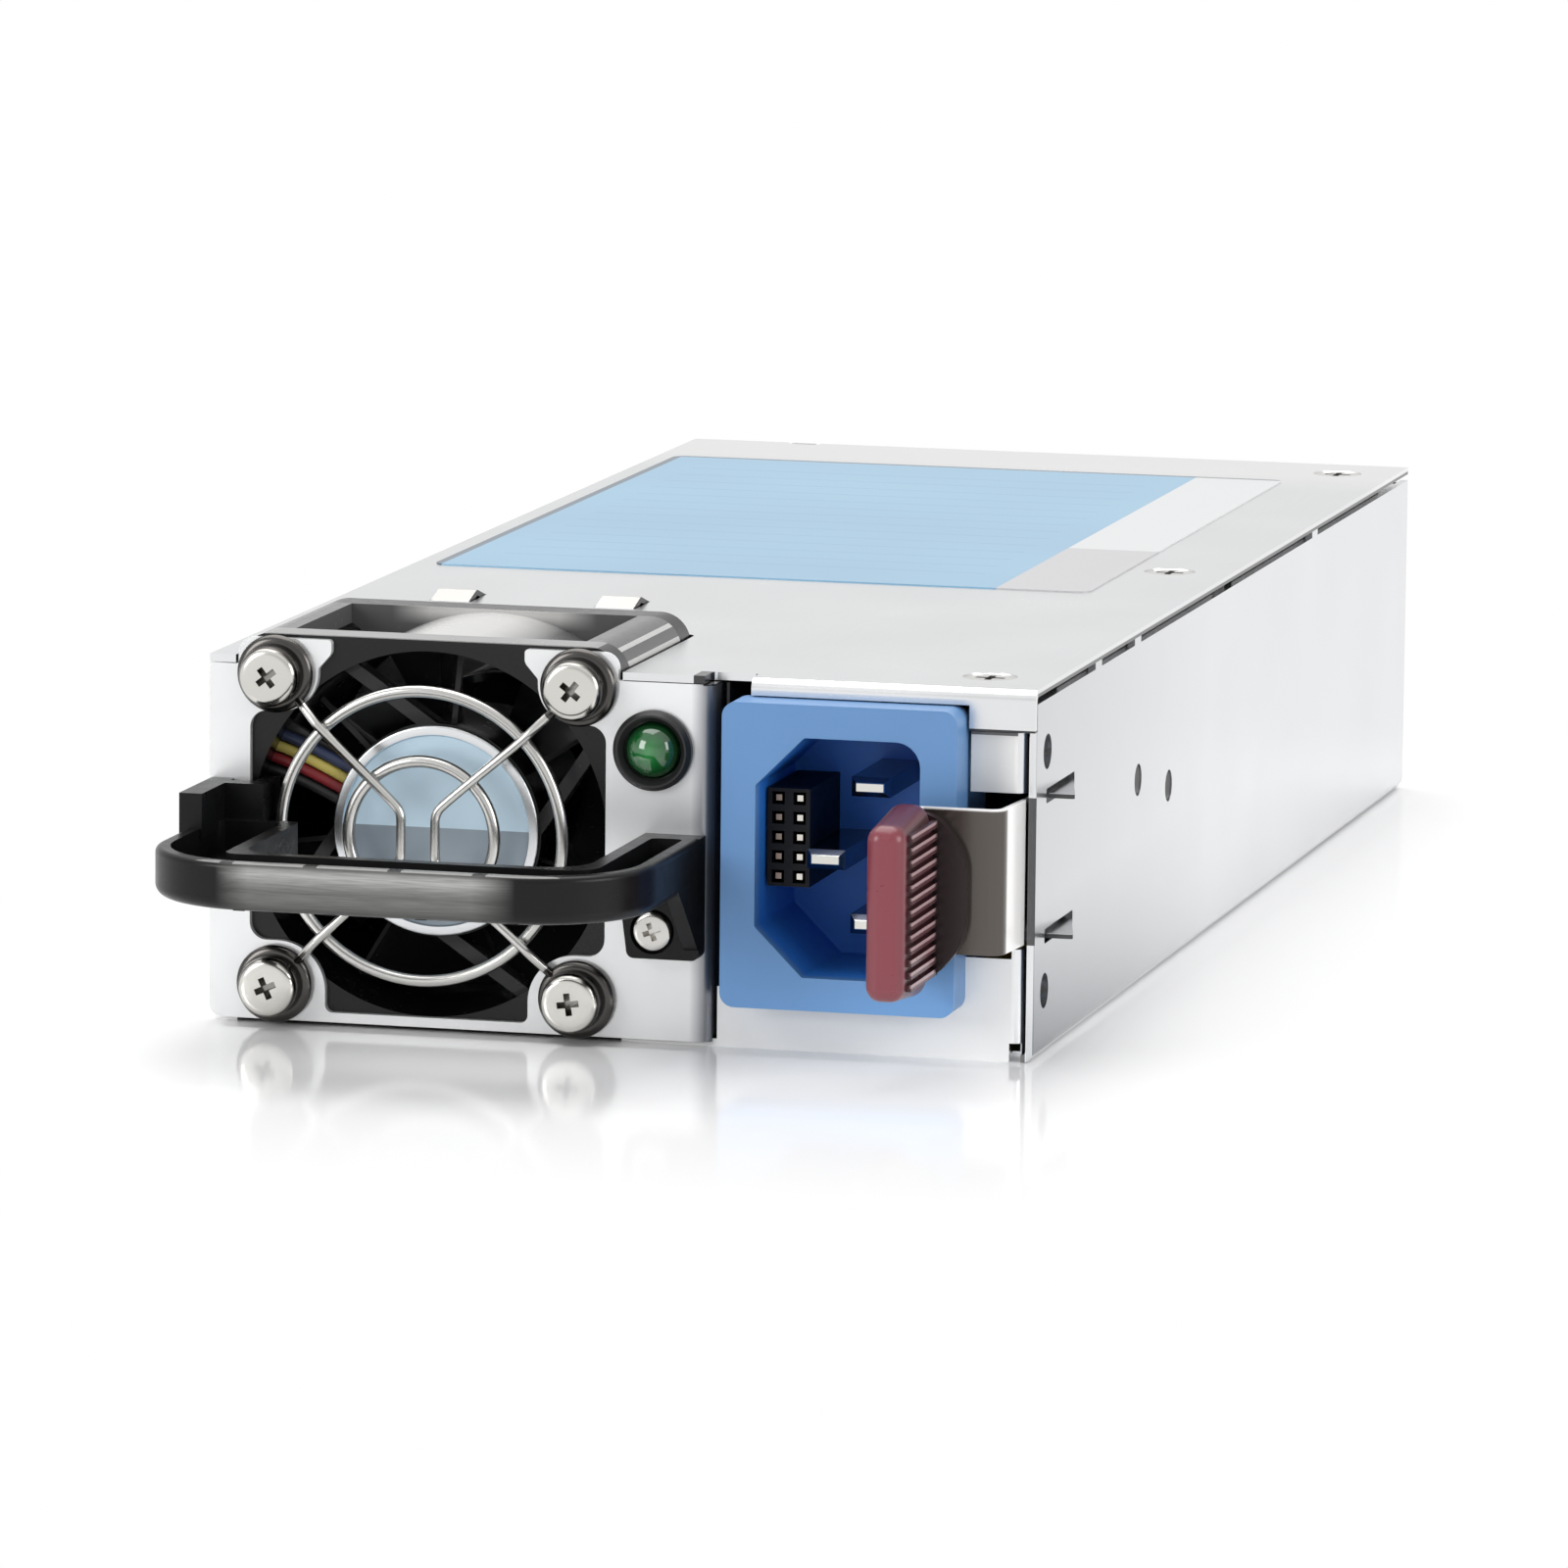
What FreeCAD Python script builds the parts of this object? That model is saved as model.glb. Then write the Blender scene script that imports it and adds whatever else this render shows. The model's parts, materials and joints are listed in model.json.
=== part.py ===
import FreeCAD, Part
import math
import os

# Hot swap server power supply, millimetres.
# The origin is the middle of the case's bottom face. +X is right seen from the front,
# +Y is towards the card edge at the rear, +Z is up.

Vector = FreeCAD.Vector
os.makedirs("parts", exist_ok=True)

# Case
CASE_WIDTH = 86.4
CASE_DEPTH = 194.6
CASE_HEIGHT = 38.0
SHEET = 0.8
BEND = 1.2
SEAM = 0.7
FIT = 0.1
PANEL_SETBACK = 1.0
PANEL_GAP = 0.15
PANEL_BEND = 1.4
PANEL_RETURN = 10.0
RETURN_RISE = 1.0
WELD_RADIUS = 1.2
WELD_PLACE = 9.6
CORNER_RELIEF = 1.9
WALL_HOLE_RADIUS = 1.8
WALL_HOLES = ((5.6, 6.7), (5.7, 31.1))
FLANGE_DEPTH = 6.4
COVER_SCREW_INSET = 6.7
COVER_SCREW_PLACES = (8.6, 93.9, 186.0)
COVER_SCREW_RADIUS = 1.5
COVER_HEAD_RADIUS = 2.8
SCREW_TAB_LENGTH = 9.0
SCREW_TAB_REACH = 10.0
SEAM_TAB_PLACES = (28.9, 47.6, 140.0)
SEAM_TAB_LENGTH = 3.0
LIP_FROM_LEFT = 57.0
LIP_ABOVE_NOTCH = 6.3
LIP_DEPTH = 4.0
COVER_NOTCH_DEPTH = 3.2
COVER_NOTCH_SETBACK = 0.9
REAR_HOOK_FROM_LEFT = 12.0
REAR_HOOK_WIDTH = 3.0
REAR_HOOK_SLACK = 0.4
FLANGE_FROM_FRONT = 13.5
FLANGE_BEHIND_FAN = 3.0
FLANGE_FROM_REAR = 10.0
LOUVRES_FROM_LEFT = (12.2, 30.2)
LOUVRES_BEHIND_FAN = 20.5

# Fan
FAN_SIZE = 40.0
FAN_DEPTH = 28.0
FAN_HOLE_PITCH = 32.0
FAN_FROM_LEFT = 23.1
FAN_CORNER = 3.2
FAN_STAND_PROUD = 2.3
FAN_BORE = 18.8
FAN_WALL = 1.0
FAN_FLANGE = 4.0
FAN_POST = 4.6
TIP_CLEARANCE = 0.5
HUB_RADIUS = 10.5
HUB_WALL = 0.9
HUB_BASE_RADIUS = 11.0
HUB_BASE_SETBACK = 3.0
HUB_BASE_THICKNESS = 1.4
HUB_LENGTH = 17.0
BLADES = 7
BLADE_THICKNESS = 1.0
BLADE_TWIST = 24.0
STRUTS = 4
STRUT_WIDTH = 1.4
STRUT_SWEEP = 28.0
STRUT_START = 30.0
SHAFT_RADIUS = 1.5
BEARING_CLEARANCE = 0.03
BEARING_WALL = 1.1
TUBE_WALL = 0.8
STATOR_RADIUS = 7.6
MAGNET_THICKNESS = 1.1
LEAD_RADIUS = 0.56
LEAD_PITCH = 1.3
LEAD_BEND = 3.6
LEAD_SETBACK = 3.7
LEAD_AT_HUB = 5.75
LEAD_AT_WALL = 9.4
LEAD_SHIFT = 4.0

# Fan plate and finger guard
PLATE_WIDTH = 53.1
PLATE_BOTTOM = 0.5
PLATE_RETURN = 14.0
OPENING_HALF_WIDTH = 18.8
OPENING_BELOW = 11.6
OPENING_ABOVE = 12.1
NECK_HALF_WIDTH = 10.75
NECK_BOTTOM = 1.0
LUG_RADIUS = 5.0
UPPER_LUG_RADIUS = 4.0
UPPER_LUG_REACH = 11.6
EAR_REACH = 10.2
EAR_START = 0.5
EAR_RISE = 1.9
GUARD_WIRE = 1.4
GUARD_RING = 14.9
GUARD_INNER_RING = 7.7
GUARD_OFF_CENTRE = 0.4
GUARD_SPREAD = 1.8
GUARD_KINK = 2.6
EYELET_THICKNESS = 1.2
EYELET_RADIUS = 4.0
SCREW_RADIUS = 2.0
SCREW_HEAD_RADIUS = 3.1
SCREW_HEAD_HEIGHT = 2.6
SCREW_LENGTH = 9.0

# Status light
LIGHT_FROM_LEFT = 46.9
LIGHT_HEIGHT = 30.2
LENS_RADIUS = 3.0
BEZEL_RADIUS = 4.1
BEZEL_PROUD = 1.2

# Handle
HANDLE_LEFT = 0.9
HANDLE_RIGHT = 52.4
HANDLE_REACH = 31.4
HANDLE_BOTTOM = 16.8
HANDLE_HEIGHT = 4.9
HANDLE_BAR = 7.2
HANDLE_ARM = 6.3
HANDLE_WALL = 1.5
HANDLE_CORNER = 12.0
HANDLE_ROUND = 1.2
HANDLE_RIB_PITCH = 9.4
FOOT_BOTTOM = 9.2
FOOT_THICKNESS = 2.4
FOOT_SCREW_FROM_LEFT = 47.5
FOOT_SCREW_HEIGHT = 12.0

# Mains inlet
INLET_LEFT = 55.0
INLET_WIDTH = 24.3
INLET_BOTTOM = 5.0
INLET_HEIGHT = 31.1
INLET_PROUD = 4.0
INLET_DEPTH = 18.5
INLET_CORNER = 1.5
INLET_STEP = 1.3
SOCKET_WIDTH = 17.0
SOCKET_HEIGHT = 24.4
SOCKET_DEPTH = 16.5
SOCKET_CHAMFER = 5.0
SOCKET_CORNER = 2.6
BLADE_PITCH = 14.0
BLADE_WIDTH = 4.0
BLADE_HEIGHT = 2.0
BLADE_FROM_SOCKET_RIGHT = 5.9
EARTH_OFFSET = 4.3
EARTH_DROP = 0.4
BLADE_RECESS = 3.0
EARTH_RECESS = 2.0
SIGNAL_WIDTH = 5.0
SIGNAL_HEIGHT = 10.0
SIGNAL_RECESS = 4.0
SIGNAL_PITCH = 2.0
SIGNAL_ROWS = 5
CONTACT = 0.6
INLET_LEAD_RADIUS = 0.8

# Latch
LEAF = 0.4
LEAF_GAP = 0.3
LEAF_BOTTOM = 12.0
LEAF_HEIGHT = 14.8
LEAF_ROOT = 43.0
LEAF_NOSE = 6.3
LEAF_LEAN = 0.7
ANCHOR_LENGTH = 27.0
BARB_FRONT = 6.1
BARB_LENGTH = 11.6
BARB_PROUD = 2.8
BARB_THICKNESS = 0.5
BARB_SLACK = 0.5
NOTCH_BOTTOM = 10.5
NOTCH_TOP = 27.4
GRIP_THICKNESS = 3.9
GRIP_RIGHT_INSET = 8.5
GRIP_REACH = 20.8
GRIP_BOTTOM = 9.2
GRIP_HEIGHT = 17.4
GRIP_RIBS = 13
RIVET_RADIUS = 1.1
RIVET_HEAD = 1.6
RIVETS = ((48.6, 22.0), (63.8, 19.2))

# Rear panel and main board
VENT_SIZE = 6.0
VENT_PITCH = 7.4
BOARD_HEIGHT = 3.6
BOARD_THICKNESS = 1.6
BOARD_SIDE_GAP = 1.4
BOARD_FRONT = 31.5
BOARD_NOSE_FRONT = 20.0
BOARD_NOSE_LEFT = 46.0
TONGUE_WIDTH = 62.0
TONGUE_LENGTH = 9.5
FINGER_WIDTH = 1.8
FINGER_PITCH = 2.5
FINGER_LENGTH = 7.0
FINGER_THICKNESS = 0.1
INSULATOR = 0.3
STANDOFF_RADIUS = 2.75
STANDOFF_BORE = 1.5
STANDOFF_FROM_LEFT = 5.5
STANDOFF_FROM_RIGHT = 9.5
STANDOFF_FROM_FRONT = 60.0
STANDOFF_FROM_REAR = 12.0
BOARD_SCREW_HEAD_RADIUS = 2.6
BOARD_SCREW_HEAD_HEIGHT = 1.8
BOARD_SCREW_CROSS = 2.8
BOARD_SCREW_SLOT = 0.7
BOARD_RIGHT_GAP = 3.4
BOARD_FROM_REAR = 1.2
TONGUE_MARGIN = 2.0
TONGUE_CORNER = 1.0
FINGER_SETBACK = 0.8
KEY_PLACE = 0.3
INSULATOR_FROM_LEFT = 2.0
INSULATOR_FROM_RIGHT = 6.0
INSULATOR_FROM_FRONT = 3.0
INSULATOR_FROM_REAR = 4.0
INSULATOR_FLAP = 15.0
INSULATOR_HOLE_SLACK = 0.2

# Pieces on the main board
BULK_RADIUS = 12.5
BULK_LENGTH = 44.6
BULK_REAR_FROM_FRONT = 92.6
BULK_ROUND = 0.6
GROOVE_PLACE = 3.8
GROOVE_DEPTH = 0.9
GROOVE_HALF_WIDTH = 0.8
FUSE_LENGTH = 21.0
FUSE_RADIUS = 2.3
FUSE_CAP_RADIUS = 2.9
FUSE_CAP_LENGTH = 5.0
PRIMARY_FINS = 9
RECTIFIER_FINS = 8
HEATSINK_THICKNESS = 2.4
FIN_THICKNESS = 1.2
FIN_FOOT = 1.0
PACKAGE_THICKNESS = 4.4
PACKAGE_FOOT = 5.0
PACKAGE_HEIGHT = 15.0
PACKAGE_LEG_WIDTH = 1.0
PACKAGE_LEG_THICKNESS = 0.8
PACKAGE_LEG_SETBACK = 2.0
TRANSISTOR_WIDTH = 10.0
TRANSISTORS_FROM_FRONT = (66.0, 78.5, 91.0)
BRIDGE_WIDTH = 18.0
BRIDGE_FROM_FRONT = 44.0
OUTPUT_CANS = 4
OUTPUT_CAN_RADIUS = 4.0
OUTPUT_CAN_HEIGHT = 18.0
OUTPUT_CAN_ROUND = 0.4
OUTPUT_CAN_PITCH = 11.5
OUTPUT_CANS_FROM_LEFT = 20.0
OUTPUT_CANS_FROM_REAR = 22.6
BUSBAR_FROM_LEFT = 16.0
BUSBAR_FROM_RIGHT = 18.4
BUSBAR_FROM_REAR = 12.6
BUSBAR_THICKNESS = 1.5
BUSBAR_FOOT = 2.0
BUSBAR_HEIGHT = 12.0
BUSBAR_FOOT_WIDTH = 4.0
BUSBAR_FEET = 3
CHIPS = ((6.0, 8.0, 7.0), (20.0, 14.0, 9.0), (34.0, 6.0, 6.0))
CHIP_PROUD = 1.4

# Worked out from the sizes above
LEFT = -CASE_WIDTH / 2
RIGHT = CASE_WIDTH / 2
FRONT = -CASE_DEPTH / 2
REAR = CASE_DEPTH / 2
TRAY_FRONT = FRONT + PANEL_SETBACK
COVER_UNDER = CASE_HEIGHT - SHEET
WALL_TOP = COVER_UNDER - SEAM
FAN_X = LEFT + FAN_FROM_LEFT
FAN_Z = CASE_HEIGHT + FAN_STAND_PROUD - FAN_SIZE / 2
FAN_FRONT = FRONT + SHEET
FAN_REAR = FAN_FRONT + FAN_DEPTH
FAN_LEFT = FAN_X - FAN_SIZE / 2
FAN_RIGHT = FAN_X + FAN_SIZE / 2
PLATE_RIGHT = LEFT + PLATE_WIDTH
PLATE_TOP = COVER_UNDER - FIT
INLET_X = LEFT + INLET_LEFT + INLET_WIDTH / 2
INLET_Z = INLET_BOTTOM + INLET_HEIGHT / 2
INLET_RIGHT = LEFT + INLET_LEFT + INLET_WIDTH
INLET_TOP = INLET_BOTTOM + INLET_HEIGHT
INLET_FRONT = FRONT - INLET_PROUD
INLET_REAR = INLET_FRONT + INLET_DEPTH
SOCKET_FLOOR = INLET_FRONT + SOCKET_DEPTH
BOARD_TOP = BOARD_HEIGHT + BOARD_THICKNESS
LEAF_X = RIGHT - SHEET - LEAF_GAP - LEAF / 2
LEAF_TOP = LEAF_BOTTOM + LEAF_HEIGHT
BARB_HEIGHTS = (LEAF_BOTTOM, LEAF_TOP - BARB_THICKNESS)
PANEL_EDGE = RIGHT - SHEET - PANEL_GAP
HANDLE_TOP = HANDLE_BOTTOM + HANDLE_HEIGHT
COVER_SCREW_X = RIGHT - COVER_SCREW_INSET
SCREW_BORE = SCREW_RADIUS + 0.05
EAR_BOTTOM = CASE_HEIGHT + EAR_START
EAR_TOP = CASE_HEIGHT + EAR_RISE
LIP_LEFT = LEFT + LIP_FROM_LEFT
LIP_BOTTOM = NOTCH_TOP + LIP_ABOVE_NOTCH
REAR_HOOK = LEFT + REAR_HOOK_FROM_LEFT
BULK_PLACE = (LEFT + 17.0, FRONT + BULK_REAR_FROM_FRONT - BULK_LENGTH)
FUSE_PLACE = (RIGHT - 38.9, FRONT + 60.0)

# Blocks on the board: left and front of each, then its width, depth and height
X_CAPACITOR = (RIGHT - 12.4, FRONT + 28.0, 7.0, 18.0, 14.0)
RELAY = (RIGHT - 25.4, FRONT + 47.2, 12.0, 9.0, 15.0)
CONTROL_BOARD = (LEFT + 7.0, REAR - 72.6, 1.2, 44.0, 26.0)

# Heatsinks: left and front of the plate, its length and height, and the fins' reach
PRIMARY_HEATSINK = (LEFT + 35.5, FRONT + 42.0, 62.0, 28.0, 4.0)
RECTIFIER_HEATSINK = (LEFT + 36.5, REAR - 82.6, 48.0, 26.0, 5.0)

# Wound pieces: middle of each, its core's width, depth and height, and the winding's overhang
TRANSFORMER = (RIGHT - 24.4, REAR - 76.6, 34.0, 24.0, 27.0, 5.0)
PFC_CHOKE = (RIGHT - 20.4, FRONT + 82.0, 27.0, 20.0, 26.0, 4.0)
EMI_CHOKE = (RIGHT - 27.4, FRONT + 36.0, 22.0, 13.0, 21.0, 3.5)
STANDBY_TRANSFORMER = (LEFT + 15.0, REAR - 88.6, 16.0, 12.0, 16.0, 2.5)
OUTPUT_CHOKE = (RIGHT - 24.4, REAR - 43.6, 24.0, 16.0, 20.0, 3.0)


# Helpers

def box(x0, y0, z0, x1, y1, z1):
    return Part.makeBox(x1 - x0, y1 - y0, z1 - z0, Vector(x0, y0, z0))


def rod(radius, start, end):
    axis = Vector(*end) - Vector(*start)
    return Part.makeCylinder(radius, axis.Length, Vector(*start), axis)


def run(points, radii, closed):
    """Straight runs through the points, joined by tangent arcs of the given radii."""
    count = len(points)
    spans = []
    for i in range(count):
        here = points[i]
        if radii[i] == 0 or (not closed and i in (0, count - 1)):
            spans.append((here, None, here))
            continue
        back = (points[i - 1] - here).normalize()
        on = (points[(i + 1) % count] - here).normalize()
        half = back.getAngle(on) / 2
        reach = radii[i] / math.tan(half)
        middle = (back + on).normalize() * (radii[i] / math.sin(half) - radii[i])
        spans.append((here + back * reach, here + middle, here + on * reach))
    edges = []
    for i in range(count):
        start, middle, end = spans[i]
        if middle is not None:
            edges.append(Part.Arc(start, middle, end).toShape())
        if not closed and i == count - 1:
            break
        following = spans[(i + 1) % count][0]
        if (following - end).Length > 1e-6:
            edges.append(Part.LineSegment(end, following).toShape())
    return Part.Wire(edges)


def face(corners, place):
    points = [place(u, v) for u, v, radius in corners]
    return Part.Face(run(points, [radius for u, v, radius in corners], True))


def front_plate(corners, y0, y1):
    """Corners are (x, z, radius)."""
    return face(corners, lambda u, v: Vector(u, y0, v)).extrude(Vector(0, y1 - y0, 0))


def top_plate(corners, z0, z1):
    """Corners are (x, y, radius)."""
    return face(corners, lambda u, v: Vector(u, v, z0)).extrude(Vector(0, 0, z1 - z0))


def side_plate(corners, x0, x1):
    """Corners are (y, z, radius)."""
    return face(corners, lambda u, v: Vector(x0, u, v)).extrude(Vector(x1 - x0, 0, 0))


def rectangle(u0, v0, u1, v1, radius=0):
    return [(u0, v0, radius), (u1, v0, radius), (u1, v1, radius), (u0, v1, radius)]


def join(shapes):
    whole = shapes[0]
    if len(shapes) > 1:
        whole = whole.fuse(shapes[1:])
    return whole.removeSplitter()


def turned(profile, place, axis):
    """Revolves a profile of (radius, along) points about an axis that starts at place."""
    along = Vector(*axis)
    out = Vector(0, 0, 1) if abs(along.z) < 0.5 else Vector(1, 0, 0)
    points = [Vector(*place) + out * r + along * a for r, a in profile]
    loop = Part.makePolygon(points + points[:1])
    return Part.Face(loop).revolve(Vector(*place), along, 360)


def swept(points, radii, radius, sides):
    """A wire or lead: a section with few sides along runs joined by arcs."""
    path = run([Vector(*p) for p in points], radii, False)
    along = (Vector(*points[1]) - Vector(*points[0])).normalize()
    side = along.cross(Vector(0, 0.3, 1)).normalize()
    up = side.cross(along)
    ring = []
    for i in range(sides):
        angle = 2 * math.pi * i / sides
        ring.append(Vector(*points[0]) + side * radius * math.cos(angle) + up * radius * math.sin(angle))
    section = Part.makePolygon(ring + ring[:1])
    return path.makePipeShell([section], True, False)


def wire_ring(place, ring_radius, radius, sides):
    """A closed ring of wire about the Y axis."""
    x, y, z = place
    points = []
    for i in range(sides):
        angle = 2 * math.pi * (i + 0.5) / sides
        points.append(Vector(x + ring_radius + radius * math.cos(angle), y + radius * math.sin(angle), z))
    loop = Part.makePolygon(points + points[:1])
    return Part.Face(loop).revolve(Vector(x, y, z), Vector(0, 1, 0), 360)


def group(shapes):
    return Part.makeCompound(shapes)


def save(name, shape):
    shape.exportStep("parts/" + name + ".step")
    print(name, len(shape.Solids), "solids", shape.isValid(), round(shape.Volume, 2), "mm3")


# Case

def cover_screw_spots():
    return [(COVER_SCREW_X, FRONT + place) for place in COVER_SCREW_PLACES]


def seam_tab_spots():
    return [FRONT + place for place in SEAM_TAB_PLACES]


def tray_section():
    return [
        (LEFT, 0, BEND),
        (RIGHT, 0, BEND),
        (RIGHT, WALL_TOP, 0),
        (RIGHT - SHEET, WALL_TOP, 0),
        (RIGHT - SHEET, SHEET, BEND - SHEET),
        (LEFT + SHEET, SHEET, BEND - SHEET),
        (LEFT + SHEET, WALL_TOP, 0),
        (LEFT, WALL_TOP, 0),
    ]


def bent_panel(left, z0, z1, weld_height):
    """Sheet across the front that turns back inside the right wall, with the weld that holds it there."""
    back = TRAY_FRONT + PANEL_RETURN
    plan = [
        (left, TRAY_FRONT, 0),
        (PANEL_EDGE, TRAY_FRONT, PANEL_BEND),
        (PANEL_EDGE, back, 0),
        (PANEL_EDGE - SHEET, back, 0),
        (PANEL_EDGE - SHEET, TRAY_FRONT + SHEET, PANEL_BEND - SHEET),
        (left, TRAY_FRONT + SHEET, 0),
    ]
    y = FRONT + WELD_PLACE
    weld = rod(WELD_RADIUS, (PANEL_EDGE - FIT, y, weld_height), (RIGHT - SHEET + FIT, y, weld_height))
    return join([top_plate(plan, z0, z1), weld])


def front_panel():
    """Lower and upper parts of the panel right of the fan plate, above and below the latch's notch."""
    low_left = PLATE_RIGHT + 0.4
    gap_left = INLET_RIGHT - INLET_STEP + FIT
    inlet_floor = INLET_BOTTOM + INLET_STEP - FIT
    lower = bent_panel(low_left, SHEET / 2, NOTCH_BOTTOM + RETURN_RISE, 6.7)
    y0 = TRAY_FRONT - 1
    y1 = TRAY_FRONT + 2
    beside_inlet = box(low_left - 1, y0, inlet_floor, gap_left, y1, NOTCH_TOP)
    notch = box(low_left - 1, y0, NOTCH_BOTTOM, PANEL_EDGE - PANEL_BEND, y1, NOTCH_TOP)
    upper = bent_panel(INLET_RIGHT + 0.3, NOTCH_TOP, WALL_TOP - 3.0, 31.1)
    return [lower.cut([beside_inlet, notch]), upper]


def wall_windows():
    cuts = []
    for place, height in WALL_HOLES:
        y = FRONT + place
        cuts.append(rod(WALL_HOLE_RADIUS, (RIGHT - 3 * SHEET, y, height), (RIGHT + SHEET, y, height)))
    for height in BARB_HEIGHTS:
        window = rectangle(
            FRONT + BARB_FRONT - BARB_SLACK - 0.2,
            height - BARB_SLACK,
            FRONT + BARB_FRONT + BARB_LENGTH + BARB_SLACK,
            height + BARB_THICKNESS + BARB_SLACK,
            0.3,
        )
        cuts.append(side_plate(window, RIGHT - SHEET - FIT / 2, RIGHT + SHEET))
    for place, height in RIVETS:
        y = FRONT + place
        cuts.append(rod(RIVET_RADIUS, (RIGHT - SHEET, y, height), (RIGHT, y, height)))
        cuts.append(rod(RIVET_HEAD + FIT, (RIGHT - SHEET / 2, y, height), (RIGHT, y, height)))
    return cuts


def chassis_tray():
    body = front_plate(tray_section(), TRAY_FRONT, REAR)
    pieces = [body] + front_panel()
    for y in seam_tab_spots():
        for x0 in (LEFT, RIGHT - SHEET):
            half = SEAM_TAB_LENGTH / 2
            pieces.append(box(x0, y - half, WALL_TOP - 1, x0 + SHEET, y + half, COVER_UNDER))
    for x, y in cover_screw_spots():
        half = SCREW_TAB_LENGTH / 2
        outer = RIGHT - SHEET / 2
        pieces.append(box(RIGHT - SCREW_TAB_REACH, y - half, WALL_TOP - SHEET, outer, y + half, WALL_TOP))
    tray = join(pieces)
    fan_well = rectangle(FAN_LEFT - 0.4, TRAY_FRONT - 1, FAN_RIGHT + 0.4, FAN_REAR + 0.4)
    cuts = [top_plate(fan_well, -1, SHEET + 1)]
    relief_right = RIGHT - SHEET - PANEL_GAP - 0.35
    cuts.append(box(relief_right - 1.2, TRAY_FRONT - 1, -1, relief_right, TRAY_FRONT + 2, CORNER_RELIEF))
    for x, y in cover_screw_spots():
        cuts.append(rod(COVER_SCREW_RADIUS, (x, y, WALL_TOP - 2 * SHEET), (x, y, WALL_TOP + SHEET)))
    return tray.cut(cuts + wall_windows())


def louvre(x, y):
    """A strip of the cover lanced free at both sides and pushed up into a ridge."""
    width = 4.2
    length = 6.5
    rise = 0.9
    thick = 0.6
    ridge = [
        (y - length / 2, CASE_HEIGHT - 0.01, 0),
        (y, CASE_HEIGHT + rise, 0.4),
        (y + length / 2, CASE_HEIGHT - 0.01, 0),
        (y + length / 2, CASE_HEIGHT - thick, 0),
        (y, CASE_HEIGHT + rise - thick, 0),
        (y - length / 2, CASE_HEIGHT - thick, 0),
    ]
    slot = rectangle(x - width / 2 - 0.15, y - length / 2, x + width / 2 + 0.15, y + length / 2)
    return side_plate(ridge, x - width / 2, x + width / 2), top_plate(slot, COVER_UNDER - 1, CASE_HEIGHT + 1)


def cover_front():
    """The front edge with its bend, from the gap beside the inlet to the right wall."""
    section = [
        (FRONT, LIP_BOTTOM, 0),
        (FRONT, CASE_HEIGHT, BEND),
        (FRONT + LIP_DEPTH, CASE_HEIGHT, 0),
        (FRONT + LIP_DEPTH, COVER_UNDER, 0),
        (FRONT + SHEET, COVER_UNDER, BEND - SHEET),
        (FRONT + SHEET, LIP_BOTTOM, 0),
    ]
    lip = side_plate(section, LIP_LEFT, RIGHT)
    over_inlet = box(
        LIP_LEFT - 1, FRONT - 1, LIP_BOTTOM - 1, INLET_RIGHT + 0.3, FRONT + SHEET + 0.3, INLET_TOP + 0.15
    )
    return lip.cut(over_inlet)


def top_cover():
    notch_left = PLATE_RIGHT - COVER_NOTCH_SETBACK
    notch_back = FRONT + COVER_NOTCH_DEPTH
    hook_left = REAR_HOOK - REAR_HOOK_SLACK
    hook_right = REAR_HOOK + REAR_HOOK_WIDTH + REAR_HOOK_SLACK
    outline = [
        (LEFT, FRONT, 0),
        (FAN_LEFT - 0.35, FRONT, 0),
        (FAN_LEFT - 0.35, FAN_REAR + 0.5, 0.6),
        (FAN_RIGHT + 0.5, FAN_REAR + 0.5, 1.3),
        (FAN_RIGHT + 0.5, FRONT, 0),
        (notch_left, FRONT, 0),
        (notch_left, notch_back, 0.5),
        (LIP_LEFT, notch_back, 0.5),
        (LIP_LEFT, FRONT + BEND, 0),
        (RIGHT, FRONT + BEND, 0),
        (RIGHT, REAR, 0),
        (hook_right, REAR, 0),
        (hook_right, REAR - SHEET - REAR_HOOK_SLACK, 0),
        (hook_left, REAR - SHEET - REAR_HOOK_SLACK, 0),
        (hook_left, REAR, 0),
        (LEFT, REAR, 0),
    ]
    pieces = [top_plate(outline, COVER_UNDER, CASE_HEIGHT), cover_front()]
    flange_top = COVER_UNDER + SHEET / 2
    flange_bottom = COVER_UNDER - FLANGE_DEPTH
    inner = SHEET + FIT
    start = FAN_REAR + FLANGE_BEHIND_FAN
    end = REAR - FLANGE_FROM_REAR
    pieces.append(box(LEFT + inner, start, flange_bottom, LEFT + inner + SHEET, end, flange_top))
    stops = [FRONT + FLANGE_FROM_FRONT]
    for x, y in cover_screw_spots()[1:]:
        stops += [y - SCREW_TAB_LENGTH / 2 - 0.5, y + SCREW_TAB_LENGTH / 2 + 0.5]
    for start, end in zip(stops[0::2], stops[1::2]):
        pieces.append(box(RIGHT - inner - SHEET, start, flange_bottom, RIGHT - inner, end, flange_top))
    slots = []
    for place in LOUVRES_FROM_LEFT:
        ridge, slot = louvre(LEFT + place, FAN_REAR + LOUVRES_BEHIND_FAN)
        pieces.append(ridge)
        slots.append(slot)
    cover = pieces[0].cut(slots)
    cover = join([cover] + pieces[1:])
    sinks = []
    for x, y in cover_screw_spots():
        sinks.append(turned(countersink(FIT / 2), (x, y, CASE_HEIGHT), (0, 0, -1)))
    return cover.cut(sinks)


def countersink(slack):
    """Half section of the flat head that sits flush in the cover."""
    cone = COVER_HEAD_RADIUS - COVER_SCREW_RADIUS
    return [
        (0, -slack),
        (COVER_HEAD_RADIUS + slack, -slack),
        (COVER_HEAD_RADIUS + slack, slack),
        (COVER_SCREW_RADIUS + slack, cone + slack),
        (COVER_SCREW_RADIUS + slack, cone + 1.0),
        (0, cone + 1.0),
    ]


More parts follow.
